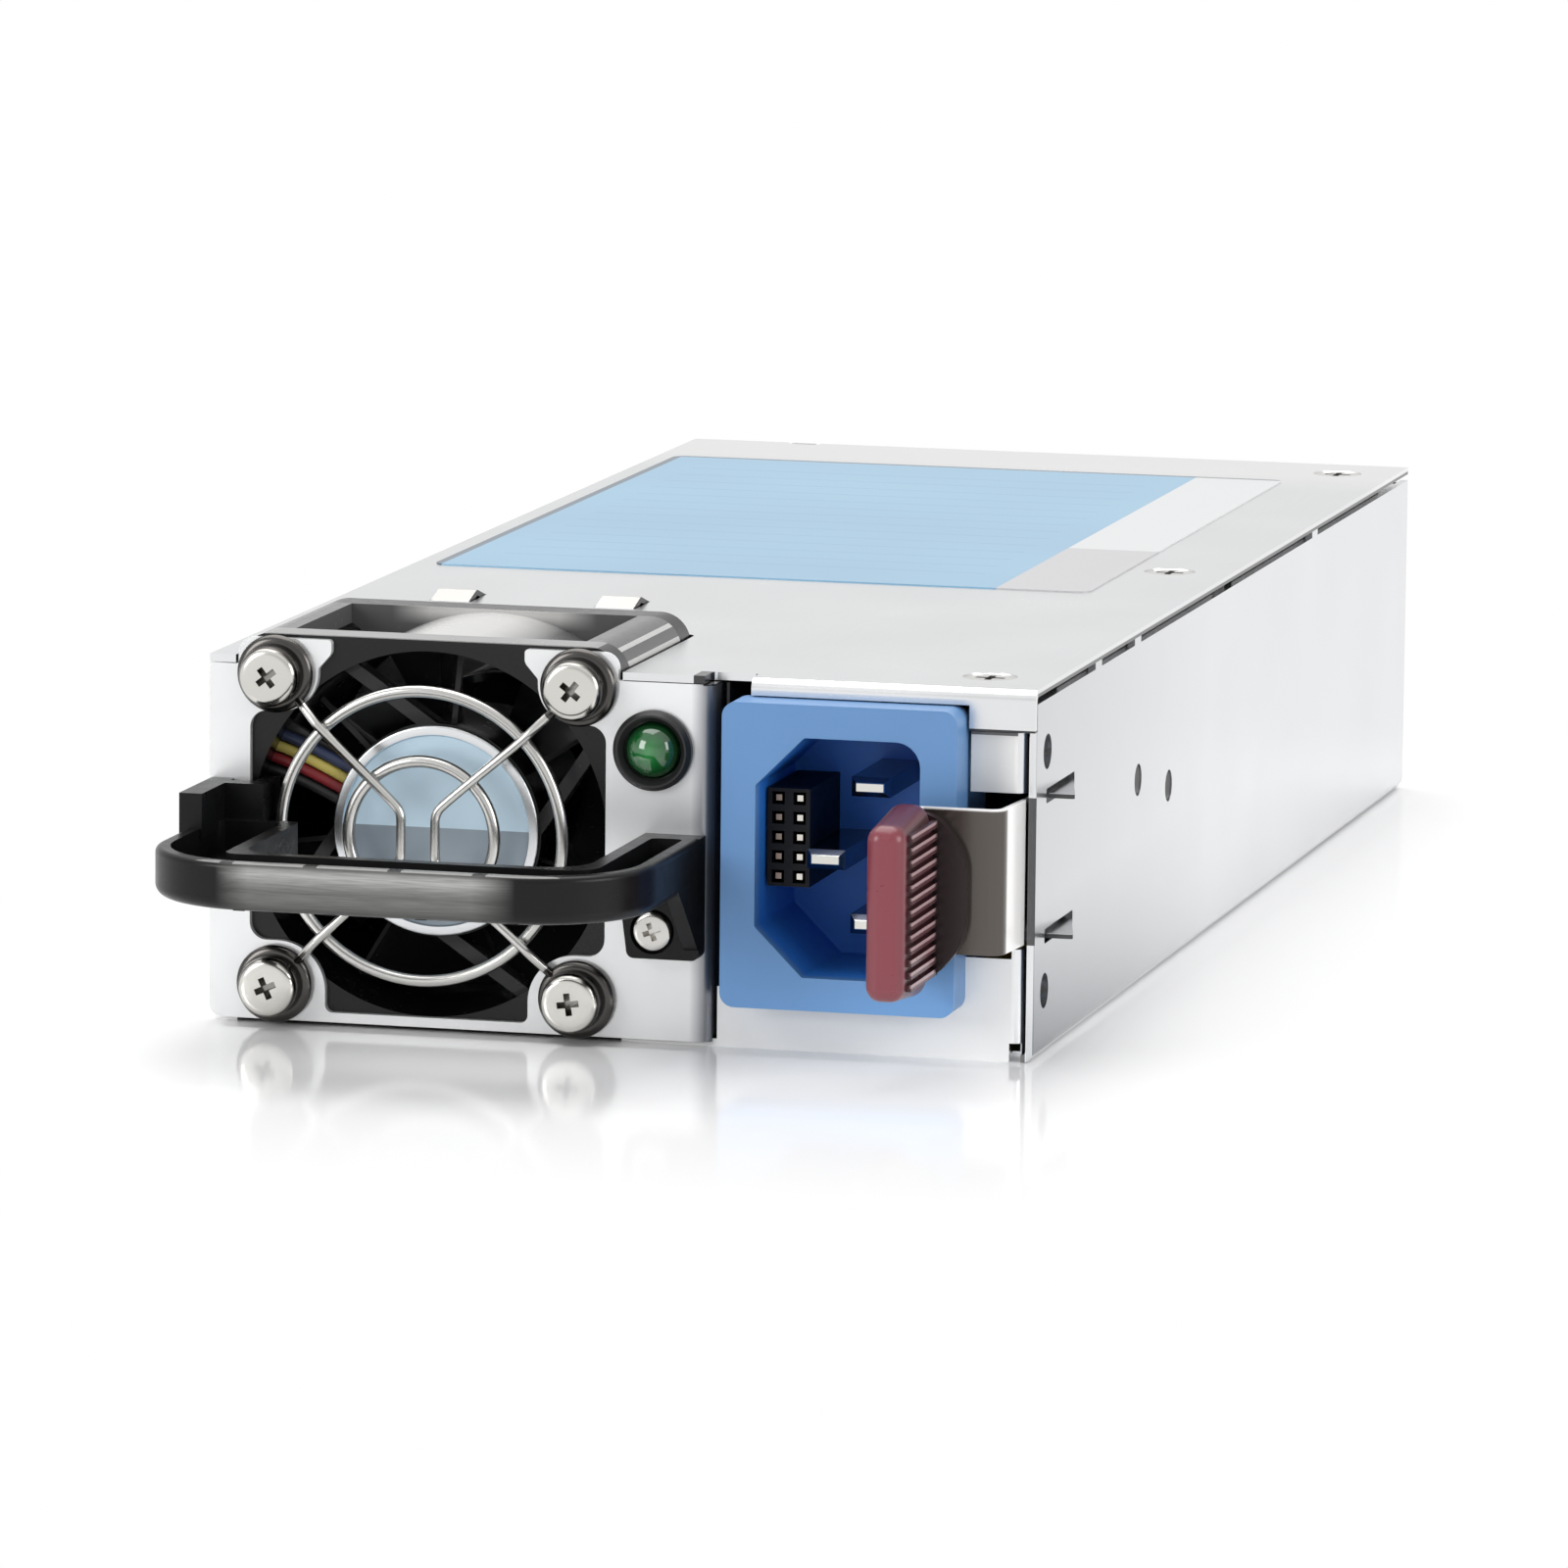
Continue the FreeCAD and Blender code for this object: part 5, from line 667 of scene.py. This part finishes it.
# Painted light on the bottom of the face, and painted shade deep in the socket.
inlet_blue.paint(lit * 0.9, tone(112, 162, 218))
inlet_blue.paint(deep * 0.9, tone(36, 124, 218))
x, y, z = signal_metal.axes()
# Painted shade on the left column of signal contacts.
signal_metal.paint(below(x, ROWS_MIDDLE) * 0.9, tone(118, 100, 92))
x, y, z = silver.axes()
bodies = above(y, POWER_TIP) + above(y, EARTH_TIP) * between(z, EARTH_LOW, EARTH_HIGH)
# Painted reflection of the socket's blue on the contacts behind their tips.
silver.paint(bodies.clamped() * 0.85, tone(40, 52, 84))
print("inlet and contacts shaded")

# %% [markdown]
# ## The status light
#
# A domed green lens. It isn't lit in the photograph, so its depth comes from a dark body and a
# bright coat: the middle is painted a paler green, a painted reflection of light that comes back from
# the chip behind it, and the rim gets painted shade. The mask is the distance from the lens's own axis.

# %% Lens
LIGHT_X, LIGHT_Z = 3.7, 30.2
LENS_RADIUS = 3.0
lens_green = Finish("green_lens", tone(28, 120, 56), 0.12, 0.0, Coat_Weight=1.0, Coat_Roughness=0.05)
x, y, z = lens_green.axes((LIGHT_X, 0.0, LIGHT_Z))
facets = lens_green.cells(900.0)
from_middle = (distance(x, z) / (LENS_RADIUS * MM) + facets * 0.12).clamped()
LENS_STOPS = [(0.0, tone(54, 136, 72)), (0.5, tone(22, 98, 44)), (1.0, tone(8, 46, 20))]
lens_green.feed("Base Color", lens_green.ramp(from_middle, LENS_STOPS))
lens_green.relief(facets, 0.00004, 0.4)
print("lens radius", LENS_RADIUS, "mm")

# %% [markdown]
# ## Finishes for the CAD nodes
#
# Every node keeps its own shape and gets the finish of its real material. The record names a
# material slot for each node, so the finishes are handed out slot by slot. A few nodes have one of
# their own, because their shades lie in other places.

# %% Hand out the finishes
by_slot = {
    "zinc_sheet": zinc,
    "spring_steel": spring,
    "screw_steel": screw_plate,
    "rivet_steel": rivet_metal,
    "guard_wire": wire_plate,
    "shaft_steel": shaft_metal,
    "fan_plastic": fan_black,
    "handle_plastic": handle_black,
    "black_nylon": nylon_black,
    "insulator_film": film_black,
    "blue_nylon": inlet_blue,
    "maroon_plastic": maroon,
    "green_lens": lens_green,
    "silver_contact": silver,
    "gold_contact": gold,
    "board_laminate": laminate,
    "aluminium": aluminium,
    "copper": copper,
    "ferrite": ferrite,
    "winding_tape": tape,
    "can_sleeve": sleeve,
    "moulded_epoxy": epoxy,
    "film_case": film_yellow,
    "relay_case": relay_blue,
    "fuse_glass": glass,
    "white_nylon": nylon_white,
    "sintered_bronze": bronze,
    "lamination": lamination,
    "magnet": magnet,
    "lead_blue": plastic("lead_blue", tone(46, 56, 84), 0.4),
    "lead_yellow": plastic("lead_yellow", tone(190, 176, 92), 0.4),
    "lead_red": plastic("lead_red", tone(126, 32, 38), 0.4),
    "lead_black": plastic("lead_black", tone(24, 24, 25), 0.4),
}
own_finish = {
    "chassis_tray": side_zinc,
    "top_cover": cover_zinc,
    "fan_plate": plate_zinc,
    "signal_block": signal_black,
    "signal_contacts": signal_metal,
}
for part in frame["record"]["subparts"]:
    name = part["node"]
    finish = own_finish.get(name, by_slot[part["material_slot"]])
    slots = nodes[name].data.materials
    slots.clear()
    slots.append(finish.material)

# %% [markdown]
# ## Hand tools
#
# The new pieces are made the way one models by hand: add a primitive, go into edit mode, select
# some faces or edges by their place, and use a tool on them. These short helpers do the selecting.

# %% Helpers for edit mode
def start():
    if bpy.context.object and bpy.context.object.mode != "OBJECT":
        bpy.ops.object.mode_set(mode="OBJECT")
    bpy.ops.object.select_all(action="DESELECT")


def only(piece):
    start()
    piece.select_set(True)
    bpy.context.view_layer.objects.active = piece


def pick_faces(rule):
    """Selects the faces whose middle and normal pass the rule."""
    bpy.ops.mesh.select_mode(type="FACE")
    bpy.ops.mesh.select_all(action="DESELECT")
    mesh = bmesh.from_edit_mesh(bpy.context.object.data)
    mesh.normal_update()
    for face in mesh.faces:
        face.select_set(rule(face.calc_center_median(), face.normal))
    mesh.select_flush_mode()
    bmesh.update_edit_mesh(bpy.context.object.data)


def pick_edges(rule):
    """Selects the edges whose middle and direction pass the rule."""
    bpy.ops.mesh.select_mode(type="EDGE")
    bpy.ops.mesh.select_all(action="DESELECT")
    mesh = bmesh.from_edit_mesh(bpy.context.object.data)
    for edge in mesh.edges:
        first, second = (corner.co for corner in edge.verts)
        edge.select_set(rule((first + second) / 2, (second - first).normalized()))
    mesh.select_flush_mode()
    bmesh.update_edit_mesh(bpy.context.object.data)


def settle(piece, finish, name):
    """Puts the object's place into its mesh, smooths it and gives it its finish."""
    only(piece)
    bpy.ops.object.transform_apply(location=True, rotation=True, scale=True)
    bpy.ops.object.shade_smooth_by_angle(angle=math.radians(35.0))
    piece.name = name
    piece.data.materials.clear()
    piece.data.materials.append(finish.material)
    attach(piece, "chassis")
    print(name, len(piece.data.polygons), "faces")


def combine(piece, tool, operation):
    """Cuts the tool's shape out of the piece, or adds it, and throws the tool away."""
    only(piece)
    change = piece.modifiers.new("change", "BOOLEAN")
    change.operation = operation
    change.object = tool
    change.solver = "EXACT"
    bpy.ops.object.modifier_apply(modifier="change")
    bpy.data.objects.remove(tool)


def weld(pieces):
    start()
    for piece in pieces:
        piece.select_set(True)
    bpy.context.view_layer.objects.active = pieces[0]
    bpy.ops.object.join()
    return pieces[0]


print("helpers ready")

# %% [markdown]
# ## The finger guard
#
# The guard is plated steel wire: two rings, and two long bent wires welded in front of them,
# whose ends are rolled into eyes for the screws. Rings and eyes are torus primitives. A bent wire
# is a curve with a round bevel: a smooth spline through few points gives the soft bends that a
# bending tool leaves, and the curve is then turned into a mesh.

# %% Rings and eyes
GUARD_X = FAN_X - 0.4
HOLE = 16.0
WIRE = 0.7
RINGS = (14.9, 7.7)
EYE_THICKNESS = 1.2
EYE_RADIUS, EYE_WIRE = 3.15, 0.85


def ring(place, radius, wire):
    start()
    bpy.ops.mesh.primitive_torus_add(
        major_segments=96,
        minor_segments=14,
        major_radius=radius * MM,
        minor_radius=wire * MM,
        location=Vector(place) * MM,
        rotation=(math.radians(90), 0, 0),
    )
    return bpy.context.object


wire_y = FRONT - EYE_THICKNESS - WIRE
ring_y = wire_y + 2 * WIRE - 0.1
parts = [ring((GUARD_X, ring_y, FAN_Z), radius, 0.92 * WIRE) for radius in RINGS]
for side in (-1, 1):
    for level in (-1, 1):
        place = (FAN_X + side * HOLE, FRONT - EYE_THICKNESS / 2, FAN_Z + level * HOLE)
        eye = ring(place, EYE_RADIUS, EYE_WIRE)
        eye.scale = (1, 1, EYE_THICKNESS / 2 / EYE_WIRE)
        parts.append(eye)
print("guard rings and eyes:", len(parts))

# %% Bent wires
def bent_wire(points, radius):
    curve = bpy.data.curves.new("bent_wire", "CURVE")
    curve.dimensions = "3D"
    curve.bevel_depth = radius * MM
    curve.bevel_resolution = 5
    curve.use_fill_caps = True
    spline = curve.splines.new("NURBS")
    spline.points.add(len(points) - 1)
    for point, place in zip(spline.points, points):
        point.co = (*(Vector(place) * MM), 1.0)
    spline.order_u = 3
    spline.use_endpoint_u = True
    spline.resolution_u = 8
    wire = bpy.data.objects.new("bent_wire", curve)
    bpy.context.collection.objects.link(wire)
    only(wire)
    bpy.ops.object.convert(target="MESH")
    return bpy.context.object


SPREAD = 1.8
KINK = 2.6
EYE_END = HOLE - 2.3
DROP_END = EYE_END - 2.1
DROP_BEND = 1.2
KINK_BEND = 1.1
KINK_RUN = 1.2
for side in (-1, 1):
    route = []
    for level in (1, -1):
        half_route = [
            (FAN_X + side * EYE_END, FRONT - EYE_THICKNESS / 2, FAN_Z + level * EYE_END),
            (FAN_X + side * DROP_END, wire_y, FAN_Z + level * DROP_END),
            (FAN_X + side * (DROP_END - DROP_BEND), wire_y, FAN_Z + level * (DROP_END - DROP_BEND)),
            (GUARD_X + side * (SPREAD + KINK_BEND), wire_y, FAN_Z + level * (KINK + KINK_RUN)),
            (GUARD_X + side * SPREAD, wire_y, FAN_Z + level * KINK),
            (GUARD_X + side * SPREAD, wire_y, FAN_Z + level * KINK * 0.3),
        ]
        route += half_route if level == 1 else half_route[::-1]
    parts.append(bent_wire(route, WIRE * 0.72))
guard = weld(parts)


def from_hole(finish):
    """Distance from the nearest of the four screw holes."""
    x, y, z = finish.axes((FAN_X, 0.0, FAN_Z))
    return distance(x.size() - HOLE * MM, z.size() - HOLE * MM)


# The eyes round the screws are painted dark, a painted dark reflection.
wire_plate.paint(below(from_hole(wire_plate), 4.3), tone(84, 82, 80))
settle(guard, wire_plate, "guard_wires")
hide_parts("finger_guard")

# %% [markdown]
# ## Pan head screws
#
# The head starts as a cylinder. Its front rim gets a wide rounded bevel, which is what makes a pan
# head, and the cross is cut with a boolean: two blades that get narrower with depth, like the point of a
# screwdriver. The shank is the head's rear face, inset and extruded. One screw is modelled and
# copied, and each copy stops at its own angle, as screws do.

# %% One screw
def cross_tool(width, thickness, depth, height):
    """Two crossed blades that point down from that height, in metres."""
    blades = []
    for turned in (0, 90):
        start()
        bpy.ops.mesh.primitive_cube_add(size=1, location=(0, 0, height), scale=(width, thickness, depth * 2))
        blade = bpy.context.object
        bpy.ops.object.transform_apply(location=False, rotation=False, scale=True)
        bpy.ops.object.mode_set(mode="EDIT")
        pick_faces(lambda place, normal: normal.z < -0.9)
        bpy.ops.transform.resize(value=(0.45, 0.6, 1))
        bpy.ops.object.mode_set(mode="OBJECT")
        blade.rotation_euler.z = math.radians(turned)
        blades.append(blade)
    combine(blades[0], blades[1], "UNION")
    return blades[0]


def pan_screw(sizes):
    """A screw that stands on its head's rear face, from sizes in millimetres."""
    radius, height, shank, length, cross = (size * MM for size in sizes)
    start()
    bpy.ops.mesh.primitive_cylinder_add(
        vertices=48, radius=radius, depth=height, location=(0, 0, height / 2), end_fill_type="NGON"
    )
    screw = bpy.context.object
    bpy.ops.object.transform_apply(location=True, rotation=False, scale=False)
    bpy.ops.object.mode_set(mode="EDIT")
    pick_edges(lambda place, along: place.z > height * 0.99 and abs(along.z) < 0.1)
    bpy.ops.mesh.bevel(offset=radius * 0.28, segments=6, profile=0.5, affect="EDGES")
    pick_faces(lambda place, normal: normal.z < -0.9)
    bpy.ops.mesh.inset(thickness=radius - shank, depth=0)
    bpy.ops.mesh.extrude_region_move(TRANSFORM_OT_translate={"value": (0, 0, -length)})
    bpy.ops.object.mode_set(mode="OBJECT")
    combine(screw, cross_tool(cross, cross * 0.26, height * 0.62, height), "DIFFERENCE")
    return screw


def copies(screw, places, angles, finish, name):
    """Copies that face the front, each turned by its own angle, as one piece."""
    made = []
    face_front = Matrix.Rotation(math.radians(90), 4, "X")
    for place, angle in zip(places, angles):
        copy = screw.copy()
        copy.data = screw.data.copy()
        bpy.context.collection.objects.link(copy)
        stopped = Matrix.Rotation(math.radians(angle), 4, "Z")
        copy.matrix_world = Matrix.Translation(Vector(place) * MM) @ face_front @ stopped
        made.append(copy)
    bpy.data.objects.remove(screw)
    whole = weld(made)
    settle(whole, finish, name)
    return whole


# Head radius, head height, shank radius, length and width of the cross
FAN_SCREW = (3.1, 2.6, 1.98, 9.0, 3.2)
SCREW_SEAT = FRONT - EYE_THICKNESS
head_plate = metal("screw_heads", tone(222, 220, 214), 0.2, (20, 20, 20), 0.12, 0.000006)
x, y, z = head_plate.axes()
to_hole = from_hole(head_plate)
# Painted dark reflection on the head's rounded side, and painted shade in the cross recess.
skirt = rising(to_hole, 2.75, 2.95)
sunk = above(y, SCREW_SEAT - 2.45) * below(to_hole, 1.7)
head_plate.paint((skirt + sunk * 0.6).clamped(), tone(70, 67, 64))
corners = [(FAN_X + a * HOLE, SCREW_SEAT, FAN_Z + b * HOLE) for a in (-1, 1) for b in (-1, 1)]
fan_screws = copies(pan_screw(FAN_SCREW), corners, (24, 38, 8, 52), head_plate, "fan_screws")
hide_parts("guard_screws")

# %% The handle's screw
FOOT_SCREW = (2.1, 1.7, 1.38, 5.0, 2.6)
FOOT_PLACE = (4.3, FRONT - 0.9, 12.0)
foot_screw = copies(pan_screw(FOOT_SCREW), [FOOT_PLACE], (20,), screw_plate, "foot_screw")
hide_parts("handle_screw")

# %% [markdown]
# ## The motor's badge
#
# In the middle of the fan sits the motor's round label in a thin bright rim. The badge is a disc
# whose front face is inset once for the rim and once more for the sunk label: two plain fields, a
# light one above and a darker one below.

# %% Badge
BADGE_RADIUS = 10.9
BADGE_FRONT = FRONT + 3.15
BADGE_DEPTH = 0.7
BADGE_BEVEL = 0.3
BADGE_RIM = 0.7
start()
bpy.ops.mesh.primitive_cylinder_add(
    vertices=96,
    radius=BADGE_RADIUS * MM,
    depth=BADGE_DEPTH * MM,
    location=Vector((FAN_X, BADGE_FRONT + BADGE_DEPTH / 2, FAN_Z)) * MM,
    rotation=(math.radians(90), 0, 0),
)
badge = bpy.context.object
bpy.ops.object.transform_apply(location=True, rotation=True, scale=True)
bpy.ops.object.mode_set(mode="EDIT")
pick_edges(lambda place, along: place.y < (BADGE_FRONT + 0.001) * MM and abs(along.y) < 0.1)
bpy.ops.mesh.bevel(offset=BADGE_BEVEL * MM, segments=4, affect="EDGES")
pick_faces(lambda place, normal: normal.y < -0.9999)
bpy.ops.mesh.inset(thickness=BADGE_RIM * MM, depth=0)
bpy.ops.mesh.inset(thickness=0.15 * MM, depth=-0.25 * MM)
bpy.ops.object.mode_set(mode="OBJECT")
print("badge in mm:", [round(v / MM, 2) for v in badge.dimensions])

badge_finish = Finish("motor_badge", tone(190, 214, 232), 0.3)
x, y, z = badge_finish.axes((FAN_X, 0.0, FAN_Z))
rim = above(distance(x, z), BADGE_RADIUS - BADGE_BEVEL - BADGE_RIM)
fields = badge_finish.mix(above(z, 0.3), tone(88, 102, 116), tone(190, 218, 236))
badge_finish.shade = badge_finish.mix(badge_finish.noise(45.0) * 0.5, fields, tone(222, 234, 242))
badge_finish.paint(rim, tone(226, 228, 230))
badge_finish.feed("Metallic", rim * 0.55 + 0.45)
badge_finish.feed("Roughness", 0.3 + badge_finish.noise(160.0, 3.0) * 0.12 - rim * 0.12)
settle(badge, badge_finish, "motor_badge")

# %% [markdown]
# ## The fan's leads
#
# Four insulated leads run from the motor across the bore, along the outside of the fan and down to a
# plug on the board. Their route is fixed by the fan, so each is a smooth spline through the route's own
# points with a round bevel.

# %% Leads
FAN_FRONT, FAN_REAR = -96.5, -68.5
BOARD_TOP = 5.2
LEAD_RADIUS = 0.56
LEAD_PITCH = 1.3
LEADS = ("blue", "yellow", "red", "black")
AT_HUB, AT_WALL = 5.75, 9.4
HUB_END, WALL_END = 9.3, 16.4
BESIDE_FAN = FAN_X - FAN_SIZE / 2 - 1.05
SETBACK = 3.7
BEND_ROOM = 7.2
SHIFT = 4.0
for index, color_name in enumerate(LEADS):
    at_hub = FAN_Z + AT_HUB - LEAD_PITCH * index
    at_wall = FAN_Z + AT_WALL - LEAD_PITCH * index
    lead_y = FAN_FRONT + SETBACK
    drop_y = FAN_REAR + 4.8 + LEAD_PITCH * (3 - index)
    route = [
        (FAN_X - HUB_END, lead_y, at_hub),
        (FAN_X - WALL_END, lead_y, at_wall),
        (BESIDE_FAN, lead_y, at_wall),
        (BESIDE_FAN, lead_y + BEND_ROOM, at_wall),
        (BESIDE_FAN, drop_y - BEND_ROOM, at_wall),
        (BESIDE_FAN, drop_y, at_wall),
        (BESIDE_FAN, drop_y, FAN_Z - 0.5),
        (BESIDE_FAN + SHIFT, drop_y, FAN_Z - 6.5),
        (BESIDE_FAN + SHIFT, drop_y, BOARD_TOP + 6.0),
    ]
    lead = bent_wire(route, LEAD_RADIUS)
    settle(lead, by_slot["lead_" + color_name], "lead_to_motor_" + color_name)
    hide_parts("fan_lead_" + color_name)

# %% [markdown]
# ## The label on the cover
#
# The cover carries a large printed label: a light blue field, and a white strip at its right. It is a
# sheet of film a tenth of a millimetre thick with rounded corners. The print is worked out from
# Object coordinates: a box mask for each field, and one for the faint rules that divide the blue one.

# %% Label sheet
LABEL_LEFT, LABEL_RIGHT = -40.9, 32.0
LABEL_FRONT, LABEL_REAR = -23.3, 79.5
LABEL_THICKNESS = 0.12
LABEL_CORNER = 1.5
middle = Vector(((LABEL_LEFT + LABEL_RIGHT) / 2, (LABEL_FRONT + LABEL_REAR) / 2, COVER_TOP))
start()
bpy.ops.mesh.primitive_plane_add(size=1, location=middle * MM)
label = bpy.context.object
label.scale = ((LABEL_RIGHT - LABEL_LEFT) * MM, (LABEL_REAR - LABEL_FRONT) * MM, 1)
bpy.ops.object.transform_apply(location=True, rotation=True, scale=True)
bpy.ops.object.mode_set(mode="EDIT")
bpy.ops.mesh.select_mode(type="VERT")
bpy.ops.mesh.select_all(action="SELECT")
bpy.ops.mesh.bevel(offset=LABEL_CORNER * MM, segments=5, affect="VERTICES")
bpy.ops.mesh.select_all(action="SELECT")
bpy.ops.mesh.extrude_region_move(TRANSFORM_OT_translate={"value": (0, 0, LABEL_THICKNESS * MM)})
bpy.ops.mesh.select_all(action="SELECT")
bpy.ops.mesh.normals_make_consistent(inside=False)
bpy.ops.object.mode_set(mode="OBJECT")
print("label corners rounded:", len(label.data.vertices))

# %% Label print
FIELD_RIGHT = 21.8
BLOCK_REAR = 11.7
RULE_PITCH, RULE_SHARE = 6.2, 0.07
RULES_LEFT, RULES_RIGHT = -36.0, 18.0
RULES_MARGIN = 8.0
BORDER = 0.9
film = Finish("label_film", tone(128, 171, 201), 0.35, Coat_Weight=0.3, Coat_Roughness=0.2)
x, y, z = film.axes()
wavy = film.noise(30.0)
film.shade = film.ramp(wavy, [(0.3, tone(111, 155, 185)), (0.7, tone(122, 165, 191))])
white_strip = above(x, FIELD_RIGHT)
film.paint(white_strip, tone(198, 199, 200))
film.paint(white_strip * below(y, BLOCK_REAR), tone(176, 175, 177))
ruled = ((y / (RULE_PITCH * MM)).fract() < RULE_SHARE) * between(x, RULES_LEFT, RULES_RIGHT)
inner = between(y, LABEL_FRONT + RULES_MARGIN, LABEL_REAR - RULES_MARGIN)
film.paint(ruled * inner * 0.4, tone(70, 120, 160))
border = below(x, LABEL_LEFT + BORDER) + above(y, LABEL_REAR - BORDER)
film.paint(border.clamped() * 0.85, tone(60, 66, 74))
film.feed("Roughness", 0.32 + wavy * 0.08)
film.relief(wavy, 0.00002, 0.2)
settle(label, film, "cover_label")
